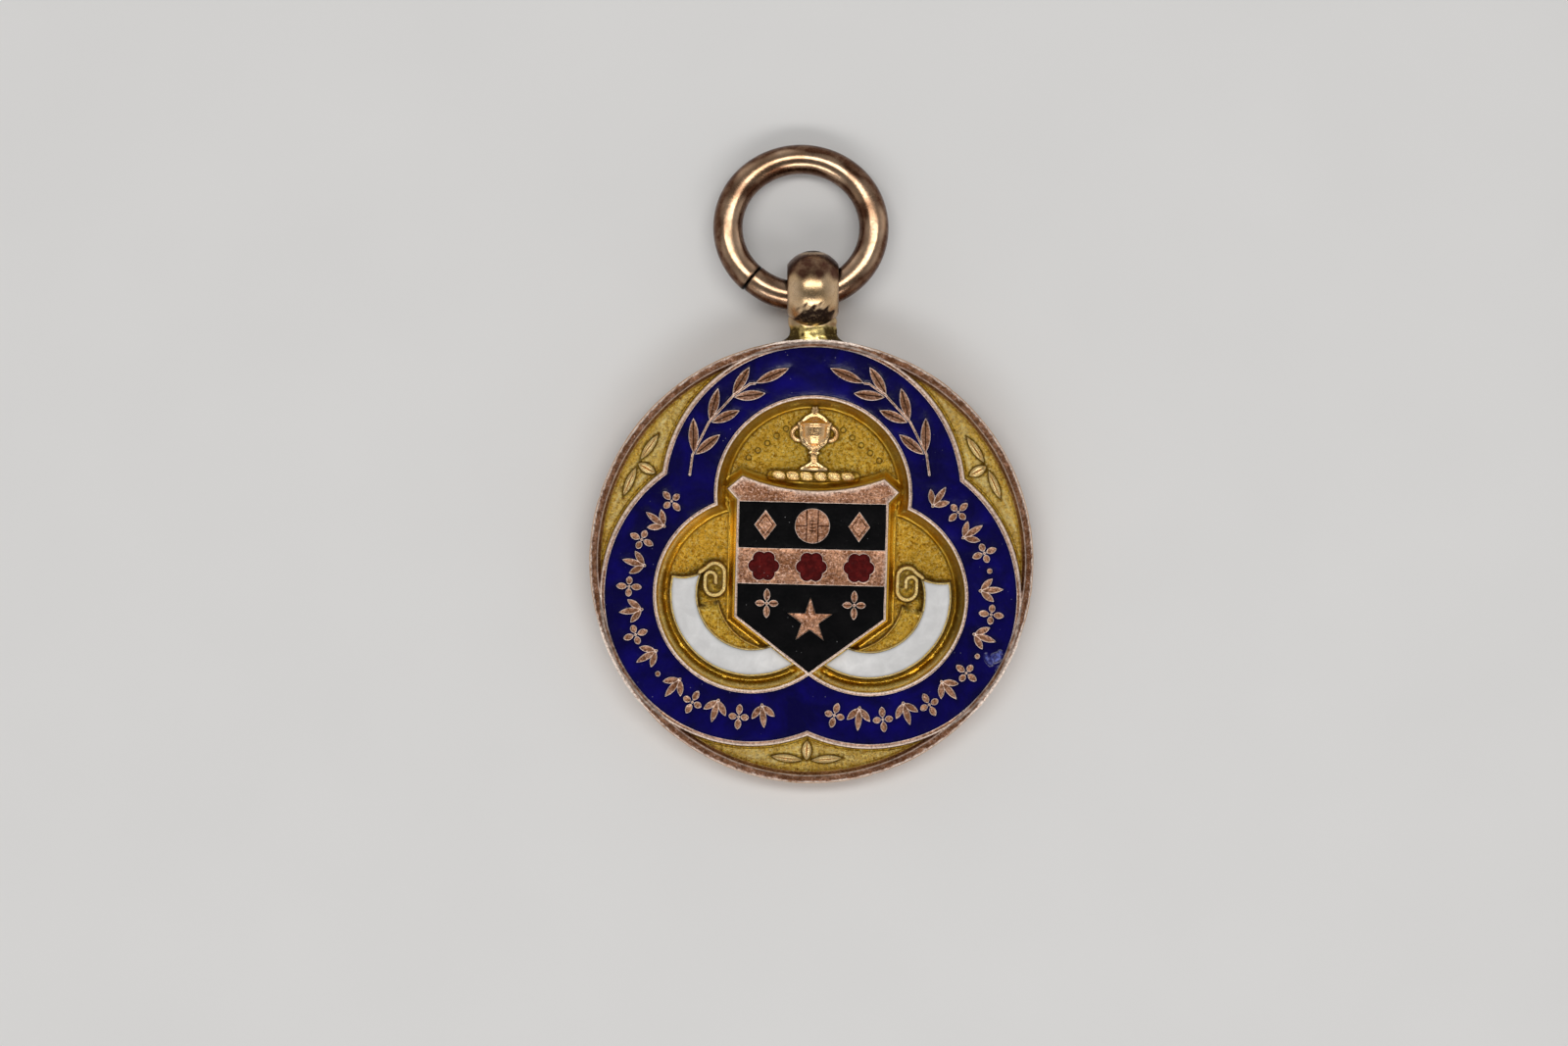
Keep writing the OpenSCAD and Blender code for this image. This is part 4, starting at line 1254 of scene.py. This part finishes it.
def make_loop():
    """The loop of D-shaped wire, with softened edges along its hole."""
    section = [(HOLE_R + SKIN, a) for a in np.linspace(-LOOP_HALF + 0.07, LOOP_HALF - 0.07, 15)]
    softened = [
        (HOLE_R + 0.05 - LOOP_SOFT * math.cos(a), LOOP_HALF - 0.06 + LOOP_SOFT * math.sin(a))
        for a in np.radians([25, 50, 75, 100])
    ]
    section += softened
    for a in np.linspace(LOOP_HALF - 0.022, -LOOP_HALF + 0.022, 33):
        section.append((LOOP_R - CROWN_R + math.sqrt(CROWN_R**2 - a * a) - SKIN, a))
    section += [(radius, -offset) for radius, offset in softened[::-1]]
    points = []
    for a in 2 * math.pi * np.arange(LOOP_TURNS) / LOOP_TURNS:
        for radius, offset in section:
            points.append((offset, radius * math.cos(a), radius * math.sin(a)))
    points = np.array(points) + LOOP_MID
    x, y, z = points.T
    across_x, up = np.abs(x - LOOP_MID[0]), y - LOOP_MID[1]
    # Painted dark reflection, partly wear: a dark smudged patch on the crown's lower front, and the loop's
    # far side darkened
    away = np.hypot((x - 0.25) / 1.3, (y - 15.45) / 0.72) + 0.25 * ripple(x, y, 0.6, 41)
    smudge_and_shade = np.maximum((1 - ramp(away, 0.7, 1.05)) * (z > 1), 0.9 * ramp(up, 2.26, 2.4))
    # Tarnished and painted dark reflection over the upper half, with a thin lighter line near its far edge
    # as a painted highlight; painted dark reflection on the sides, darkest at their edges, and painted shade
    # inside the hole
    tarnish_and_shade = ramp(up + 0.2 * ripple(x, y, 1.2, 45), 0.3, 1.0)
    tarnish_and_shade = np.max([
        tarnish_and_shade * (1 - 0.5 * strip(up, 2.2, 2.3, 0.06) * (z > 1.2)),
        0.25 * ramp(across_x, 0.75, 1.3),
        0.85 * ramp(across_x, 1.42, 1.6),
        1 - ramp(np.hypot(up, z - LOOP_MID[2]), HOLE_R + 0.02, HOLE_R + 0.25),
    ], axis=0)
    faces = tube(LOOP_TURNS, len(section), closed=True)
    return build("medal_loop", points, faces, {"smudge_and_shade": smudge_and_shade, "tone": tarnish_and_shade}, turn=False)


# The solder, one section a row: distance from the disc's middle, half width, half thickness, squareness
NECK = [
    (13.35, 2.3, 0.62, 2.6), (13.7, 2.25, 0.66, 2.4), (13.84, 2.1, 0.68, 2.2), (13.92, 1.88, 0.70, 2.0),
    (14.02, 1.7, 0.70, 1.8), (14.15, 1.58, 0.69, 1.6), (14.3, 1.51, 0.68, 1.5), (14.5, 1.49, 0.68, 1.5),
    (14.75, 1.5, 0.70, 1.7), (15.0, 1.52, 0.74, 2.0), (15.25, 1.53, 0.76, 2.3), (15.45, 1.49, 0.74, 2.5),
    (15.58, 1.42, 0.70, 2.6),
]


def make_neck():
    """The solder that fills the corners between the disc's edge and the loop."""
    around = 72
    rows = np.array(NECK)
    stations = [np.linspace(a, b, 5)[:-1] for a, b in zip(rows[:-1, 0], rows[1:, 0])]
    stations = np.concatenate(stations + [rows[-1:, 0]])
    points = []
    for y in stations:
        w, t, power = (np.interp(y, rows[:, 0], rows[:, i]) for i in (1, 2, 3))
        for k in range(around):
            a = 2 * math.pi * k / around
            c, s = math.cos(a), math.sin(a)
            swell = (abs(c) ** power + abs(s) ** power) ** (-1 / power)
            lump = 1 + 0.035 * ripple(np.array(1.6 * c), np.array(y), 0.75, 42)
            x = LOOP_MID[0] + w * c * swell * min(lump, 1.02)
            points.append((x, y, LOOP_MID[2] + t * s * swell * lump))
    points = np.array(points)
    x, y = points.T[:2]
    # Painted shade: the solder's sides olive, less at the outer edge of its upper part and where the loop's
    # tan takes over
    side = np.abs(x - LOOP_MID[0]) + 0.15 * ripple(x, y, 0.5, 43)
    olive = ramp(side, 0.55, 0.85) * (1 - ramp(side, 1.25, 1.5) * ramp(y, 14.5, 14.9))
    tan = ramp(y + 0.1 * ripple(x, y, 0.4, 44), 14.7, 14.95)
    layers = {"smudge_and_shade": olive * (1 - 0.7 * tan), "tone": tan}
    return build("solder_neck", points, tube(len(stations), around, flip=True), layers, turn=False)


# The jump ring's path: four arcs that run into each other, and its place
WIRE_R, RING_RX, RING_RY = 0.94, 4.61, 4.41
WIRE_WAVE = 0.004
SHIFT = (RING_RX - RING_RY) / (2 - math.sqrt(2))
SIDE_R, END_R = RING_RX - SHIFT, RING_RY + SHIFT
SEAM_ANGLE = 230.0
RING_TILT = math.radians(-8.607216)
RING_MID = (-0.66, 14.898015, 1.570)


def ring_path(angle):
    """The point of the ring's middle line at an angle in degrees, and its outward direction."""
    quarter = round(angle / 90) % 4
    mid = ((SHIFT, 0), (0, -SHIFT), (-SHIFT, 0), (0, SHIFT))[quarter]
    r = (SIDE_R, END_R)[quarter % 2]
    c, s = cos_sin(angle % 360)
    return np.array([mid[0] + r * c, mid[1] + r * s]), np.array([c, s])


def make_ring():
    """The ring's wire, bent from one side of its seam to the other, with softened ends."""
    around = 56
    half_gap, cap = math.degrees(0.035 / END_R), math.degrees(0.06 / END_R)
    start, end = SEAM_ANGLE + half_gap, SEAM_ANGLE + 360 - half_gap
    # Angles along the wire, and the share of its radius there
    stations = [(start, 0.955), (start + 0.3 * cap, 0.985), (start + cap, 1.0)]
    stations += [(a, 1.0) for a in np.linspace(start + 2 * cap, end - 2 * cap, 230)]
    stations += [(end - cap, 1.0), (end - 0.3 * cap, 0.985), (end, 0.955)]
    points, tarnish_and_shade, grime_and_shade = [], [], []
    for angle, share in stations:
        p, out = ring_path(angle)
        turn = math.radians(angle)
        from_end = math.radians(min(angle - start, end - angle)) * END_R
        top = math.exp(-(((angle % 360 - 80) / 50) ** 2))
        near_end = math.exp(-(((angle - start) / 14) ** 2))
        p = p - out * 0.05 * near_end
        r = WIRE_R * share - 0.035 * near_end - SKIN
        for k in range(around):
            a = 2 * math.pi * k / around
            worn_r = r * (1 - WIRE_WAVE * (1 + math.sin(3 * a + turn * 4)))
            points.append((*(p + out * worn_r * math.cos(a)), worn_r * math.sin(a)))
            # Tarnished and painted dark reflection on the wire's flanks, leaving its crest bright; near the
            # top of the ring it reaches further over the outer side
            streak = 0.12 * math.sin(3 * turn + 2 * a) + 0.08 * math.sin(11 * turn + a)
            crest = math.sin(a - 0.25 * top) + streak
            tarnish_and_shade.append(1 - float(ramp(crest, 0.66 + 0.14 * top, 0.99 + 0.03 * top)))
            # Darker next to the cut of the seam
            grime_and_shade.append(math.exp(-((from_end / 0.11) ** 2)))
    x, y, z = np.array(points).T
    c, s = math.cos(RING_TILT), math.sin(RING_TILT)
    points = np.stack([x, y * c - z * s, y * s + z * c], 1) + RING_MID
    points[:, 2] = np.maximum(points[:, 2], SKIN)
    layers = {"tone": tarnish_and_shade, "smudge_and_shade": grime_and_shade}
    return build("ring_wire", points, tube(len(stations), around), layers, place_it=False)


# Materials


def node(tree, kind, inputs=None, **props):
    """A shader node with its sockets set or linked."""
    made = tree.nodes.new(kind)
    for key, value in props.items():
        setattr(made, key, value)
    for key, value in (inputs or {}).items():
        if isinstance(value, bpy.types.NodeSocket):
            tree.links.new(value, made.inputs[key])
        else:
            made.inputs[key].default_value = value
    return made


class Maker:
    """Short calls for the nodes of one material."""

    def __init__(self, name):
        self.material = bpy.data.materials.new(name)
        self.material.use_nodes = True
        self.tree = self.material.node_tree
        self.tree.nodes.clear()
        coords = self.node("ShaderNodeTexCoord").outputs["Object"]
        scaled = {0: coords, "Scale": 1000.0}
        self.at = self.node("ShaderNodeVectorMath", scaled, operation="SCALE").outputs[0]

    def node(self, kind, inputs=None, **props):
        return node(self.tree, kind, inputs, **props)

    def stretch(self, x, y, z, turn):
        """The coordinates, in millimetres, stretched and turned about Z."""
        inputs = {"Vector": self.at, "Rotation": (0, 0, turn), "Scale": (x, y, z)}
        return self.node("ShaderNodeMapping", inputs).outputs[0]

    def noise(self, scale, detail=3.0, roughness=0.55, at=None, distortion=0.0):
        return self.node("ShaderNodeTexNoise", {
            "Vector": at or self.at, "Scale": scale, "Detail": detail,
            "Roughness": roughness, "Distortion": distortion,
        }).outputs[0]

    def cells(self, scale):
        inputs = {"Vector": self.at, "Scale": scale, "Randomness": 1.0}
        return self.node("ShaderNodeTexVoronoi", inputs).outputs["Distance"]

    def attribute(self, name):
        return self.node("ShaderNodeAttribute", attribute_name=name).outputs["Fac"]

    def span(self, value, low, high, to_low=0.0, to_high=1.0):
        """A value from low to high, spread from to_low to to_high."""
        return self.node("ShaderNodeMapRange", {
            "Value": value, "From Min": low, "From Max": high, "To Min": to_low, "To Max": to_high,
        }).outputs[0]

    def math(self, operation, a, b, clamp=False):
        made = self.node("ShaderNodeMath", {0: a, 1: b}, operation=operation, use_clamp=clamp)
        return made.outputs[0]

    def times(self, a, b, clamp=False):
        return self.math("MULTIPLY", a, b, clamp)

    def plus(self, a, b, clamp=False):
        return self.math("ADD", a, b, clamp)

    def mix(self, share, a, b):
        a, b = ((*v, 1.0) if isinstance(v, tuple) else v for v in (a, b))
        return self.node("ShaderNodeMix", {0: share, 6: a, 7: b}, data_type="RGBA").outputs[2]

    def layered(self, base, *coats):
        """A colour under some coats, each a colour and the value and span that say how far it covers."""
        for colour, *reach in coats:
            base = self.mix(self.span(*reach), base, colour)
        return base

    def bump(self, height, distance):
        inputs = {"Height": height, "Distance": distance * MM, "Strength": 1.0}
        return self.node("ShaderNodeBump", inputs).outputs[0]

    def finish(self, **inputs):
        sockets = {key.replace("_", " "): value for key, value in inputs.items()}
        shader = self.node("ShaderNodeBsdfPrincipled", sockets)
        self.node("ShaderNodeOutputMaterial", {"Surface": shader.outputs[0]})
        return self.material


def darker(colour, share, lift=0.0):
    return tuple(min(1.0, share * v + lift) for v in colour)


def struck_metal():
    """The struck face: rose gold flats, gilt grounds, bright worn edges with painted highlights, and grimy
    corners with painted shade.
    """
    m = Maker("struck_gold")
    gilt, edge, grime_and_shade, amber, polish = (m.attribute(name) for name in LAYERS)
    patches = m.noise(0.9, 5.0, 0.6)
    specks = m.noise(7.0, 5.0, 0.7)
    grains = m.noise(4.8, 4.0, 0.75)
    grit = m.span(m.cells(6.0), 0.1, 0.5)
    rose = m.layered(
        (0.26, 0.11, 0.052),
        ((0.56, 0.29, 0.17), patches, 0.38, 0.62),
        ((0.10, 0.036, 0.018), specks, 0.48, 0.6, 0.0, 0.9),
        ((0.95, 0.64, 0.50), m.noise(6.5, 4.0, 0.75), 0.52, 0.66, 0.0, 0.8),
    )
    yellow = m.layered(
        (0.50, 0.225, 0.008),
        ((1.0, 0.665, 0.09), grains, 0.38, 0.53),
        # Painted glints: bright flecks over the grains
        ((1.0, 0.82, 0.27), m.noise(6.0, 3.0, 0.7), 0.53, 0.62, 0.0, 0.9),
        ((0.32, 0.14, 0.010), grit, 0.0, 0.4, 0.6, 0.0),
        ((0.60, 0.33, 0.03), m.noise(0.6, 3.0), 0.42, 0.68, 0.0, 0.4),
    )
    deep = m.layered((0.92, 0.47, 0.025), ((1.0, 0.68, 0.10), patches, 0.35, 0.65))
    shown = m.layered((0.90, 0.52, 0.24), ((1.0, 0.70, 0.42), patches, 0.35, 0.65))
    base = m.mix(gilt, rose, m.mix(amber, yellow, deep))
    base = m.mix(m.times(polish, 0.85), base, shown)
    # Worn edges and painted highlights: a pale, less metallic colour where the edge layer says so
    wear_and_highlight = m.times(edge, m.span(specks, 0.44, 0.62, 1.0, 0.45))
    base = m.mix(wear_and_highlight, base, m.mix(gilt, (1.0, 0.85, 0.74), (1.0, 0.86, 0.42)))
    # Grimy corners and painted shade: a dark brown where the layer of grime and shade says so
    dirt_and_shade = m.times(grime_and_shade, m.span(specks, 0.25, 0.7, 1.0, 0.6), clamp=True)
    base = m.mix(dirt_and_shade, base, (0.050, 0.016, 0.004))
    sleek = m.math("MAXIMUM", polish, amber)
    rough = m.math("SUBTRACT", m.span(specks, 0.3, 0.7, 0.27, 0.42), m.times(sleek, 0.12))
    rough = m.plus(rough, m.times(dirt_and_shade, 0.25), clamp=True)
    solid = m.math("SUBTRACT", 1.0, m.times(wear_and_highlight, 0.7))
    grain = m.times(m.plus(m.times(grains, 4.4), m.times(grit, 1.4)), gilt)
    grain = m.times(grain, m.math("SUBTRACT", 1.0, sleek, clamp=True))
    dents = m.times(m.noise(4.0, 5.0, 0.65), m.span(polish, 0.0, 1.0, 1.0, 0.25))
    scratches = m.noise(1.0, 3.0, 0.7, m.stretch(1.5, 26.0, 1.0, 0.9))
    height = m.plus(grain, m.plus(dents, m.times(scratches, 0.25)))
    return m.finish(Base_Color=base, Metallic=solid, Roughness=rough, Normal=m.bump(height, 0.04))


def polished_gold(name, bright, dark, roughness, tone, stain_and_shade):
    """Polished metal with handling marks, tarnished and stained, with painted shade and dark reflections,
    where the mesh's layers say so.
    """
    m = Maker(name)
    specks = m.noise(6.0, 5.0, 0.7)
    base = m.layered(dark, (bright, m.noise(0.7, 4.0, 0.55), 0.35, 0.65))
    toned = m.span(m.noise(1.6, 5.0, 0.65), 0.3, 0.6, 0.75, 1.05)
    toned = m.times(m.attribute("tone"), toned, clamp=True)
    base = m.mix(toned, base, tone)
    base = m.layered(base, (darker(dark, 0.35), specks, 0.5, 0.75, 0.0, 0.35))
    smudge_and_shade = m.times(m.attribute("smudge_and_shade"), m.span(specks, 0.3, 0.55, 0.75, 1.1), clamp=True)
    base = m.mix(smudge_and_shade, base, stain_and_shade)
    rough = m.plus(m.span(specks, 0.3, 0.7, roughness, roughness + 0.12), m.times(toned, 0.06))
    rough = m.plus(rough, m.times(smudge_and_shade, 0.25), clamp=True)
    scratches = m.noise(1.0, 4.0, 0.75, m.stretch(2.0, 30.0, 2.0, 0.6))
    crossing = m.noise(1.0, 4.0, 0.75, m.stretch(24.0, 2.0, 3.0, 0.3))
    height = m.plus(m.times(scratches, 0.5), m.times(crossing, 0.5))
    height = m.plus(height, m.times(m.noise(2.2, 3.0), 1.5))
    return m.finish(Base_Color=base, Metallic=1.0, Roughness=rough, Normal=m.bump(height, 0.0045))


def enamel(name, deep, light, scale, speckle, chipped=False, pits=0.5):
    """Glassy enamel: clouded colour, fine pits and a polished surface."""
    m = Maker(name)
    dots = m.span(m.cells(2.6), 0.05, 0.09, 1.0, 0.0)
    sparse = m.times(dots, m.span(m.noise(1.1, 2.0), 0.5, 0.62))
    base = m.layered(
        deep,
        (light, m.noise(scale, 4.0, 0.6, distortion=0.4), 0.42, 0.72),
        (darker(light, 2.6, 0.03), m.noise(14.0, 3.0, 0.7), 0.62, 0.8, 0.0, speckle),
    )
    base = m.mix(m.times(sparse, 0.6), base, darker(light, 0.6, 0.25))
    # Darker next to the metal: painted shade, and the enamel's own darker edge
    base = m.mix(m.times(m.attribute("near"), 0.6), base, darker(deep, 0.3))
    rough = m.plus(m.span(m.noise(8.0, 4.0, 0.7), 0.3, 0.7, 0.08, 0.2), m.times(sparse, 0.3))
    if chipped:
        chip = m.attribute("chip")
        ragged = m.span(m.noise(5.0, 5.0, 0.7), 0.46, 0.6)
        base = m.mix(m.times(chip, 0.7), base, (0.006, 0.006, 0.16))
        base = m.mix(m.times(m.span(chip, 0.35, 0.9), ragged, clamp=True), base, (0.12, 0.16, 0.60))
        rough = m.plus(rough, m.times(chip, 0.3), clamp=True)
    waves = m.plus(m.noise(1.6, 3.0), m.times(sparse, -pits))
    height = m.plus(waves, m.times(m.noise(9.0, 4.0, 0.7), 0.25))
    return m.finish(Base_Color=base, Roughness=rough, IOR=1.5, Normal=m.bump(height, 0.012))


def floor_material():
    m = Maker("pale_floor")
    tone = m.mix(m.noise(0.08, 2.0), (0.78, 0.78, 0.775), (0.82, 0.82, 0.815))
    return m.finish(Base_Color=tone, Roughness=0.9)


def lamp(name, place, size, power, colour):
    """A soft box, aimed at the medal."""
    data = bpy.data.lights.new(name, "AREA")
    data.shape = "RECTANGLE"
    data.size, data.size_y = size
    data.energy, data.color = power, colour
    made = bpy.data.objects.new(name, data)
    bpy.context.scene.collection.objects.link(made)
    made.location = place
    made.rotation_euler = (Vector() - Vector(place)).to_track_quat("-Z", "Y").to_euler()


def dress(piece, material, slot_name, *nodes):
    """Gives a piece its material and its place among the part's pieces."""
    piece.data.materials.append(material)
    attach(piece, "root")
    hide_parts(*nodes)


struck = struck_metal()
# Bright tone, dark tone, roughness, colour of the tarnished parts, partly painted dark reflection, colour of
# the stained parts, partly painted shade
loop_gold = polished_gold(
    "loop_gold", (0.93, 0.67, 0.41), (0.71, 0.475, 0.25), 0.19, (0.11, 0.046, 0.028), (0.03, 0.017, 0.012)
)
ring_gold = polished_gold(
    "ring_gold", (0.73, 0.50, 0.33), (0.52, 0.315, 0.185), 0.15, (0.10, 0.040, 0.020), (0.012, 0.007, 0.005)
)
solder = polished_gold(
    "solder", (1.0, 0.80, 0.32), (0.80, 0.56, 0.16), 0.22, (0.60, 0.42, 0.25), (0.085, 0.055, 0.016)
)
# Deep tone, light tone, size of its clouds, specks
black = enamel("black_enamel", (0.0016, 0.0016, 0.002), (0.005, 0.0045, 0.005), 0.8, 0.14)
red = enamel("red_enamel", (0.065, 0.004, 0.004), (0.15, 0.010, 0.009), 3.0, 0.35, pits=1.0)
white = enamel("white_enamel", (0.78, 0.78, 0.78), (0.92, 0.92, 0.92), 1.0, 0.1)
navy = enamel("blue_enamel", (0.0018, 0.0006, 0.048), (0.0040, 0.0016, 0.14), 0.35, 0.15, chipped=True)

for piece in make_disc():
    dress(piece, struck, "gold", "medal_body")
dress(make_blue(), navy, "blue_enamel", "blue_enamel")
for side, outline, charges, seed in (
    ("upper", upper_cell, upper_charges, 21), ("lower", lower_cell, lower_charges, 22),
):
    layer = make_cell("black_layer_" + side, [outline], charges, SHIELD_Z, seed)
    dress(layer, black, "black_enamel", "black_enamel_" + side)
dress(make_loop(), loop_gold, "gold", "medal_body")
dress(make_neck(), solder, "gold", "medal_body")
dress(make_ring(), ring_gold, "rose_gold", "jump_ring")
for i, side in enumerate(("left", "middle", "right")):
    layer = make_cell("red_layer_" + side, rosettes[i], [], SHIELD_Z, 23 + i)
    dress(layer, red, "red_enamel", "red_enamel_" + side)
for side, sign in (("left", -1), ("right", 1)):
    layer = make_cell("white_layer_" + side, [RibbonCell(sign)], [], RIBBON_Z, 32 + sign)
    dress(layer, white, "white_enamel", "white_enamel_" + side)

# Floor
floor_mesh = bpy.data.meshes.new("floor")
floor_mesh.from_pydata([(-0.8, -0.8, 0), (0.8, -0.8, 0), (0.8, 0.8, 0), (-0.8, 0.8, 0)], [], [(0, 1, 2, 3)])
floor_mesh.materials.append(floor_material())
floor = bpy.data.objects.new("floor", floor_mesh)
bpy.context.scene.collection.objects.link(floor)

# Light: a wide soft box over the medal, a little towards the ring, and one from the other side
lamp("key_light", (0.0, 0.11, 0.41), (0.5, 0.12), 0.82, (1.0, 0.98, 0.95))
lamp("low_light", (0.0, -0.28, 0.30), (0.5, 0.08), 0.55, (1.0, 0.98, 0.96))
world = bpy.data.worlds.new("room")
world.use_nodes = True
sky = world.node_tree
way = node(sky, "ShaderNodeTexCoord").outputs["Generated"]
up = node(sky, "ShaderNodeSeparateXYZ", {0: way}).outputs[2]
level = node(sky, "ShaderNodeMapRange", {
    "Value": up, "From Min": 0.15, "From Max": 0.95, "To Min": 0.62, "To Max": 0.05,
}).outputs[0]
sky.links.new(level, sky.nodes["Background"].inputs[1])
sky.nodes["Background"].inputs[0].default_value = (1.0, 1.0, 1.02, 1)
bpy.context.scene.world = world
bpy.context.scene.view_settings.view_transform = "Standard"

# Camera: straight down, with the photograph's frame
FRAME_W = 98.68
FRAME_MID = (-1.727, -3.749)
FACE_HEIGHT = 2.5
LENS, SENSOR = 100.0, 36.0
camera_data = bpy.data.cameras.new("camera")
camera_data.lens, camera_data.sensor_width, camera_data.sensor_fit = LENS, SENSOR, "HORIZONTAL"
camera_data.clip_start, camera_data.clip_end = 0.01, 10.0
camera = bpy.data.objects.new("camera", camera_data)
camera.location = (FRAME_MID[0] * MM, FRAME_MID[1] * MM, (FACE_HEIGHT + FRAME_W * LENS / SENSOR) * MM)
bpy.context.scene.collection.objects.link(camera)
bpy.context.scene.camera = camera

bpy.context.view_layer.update()
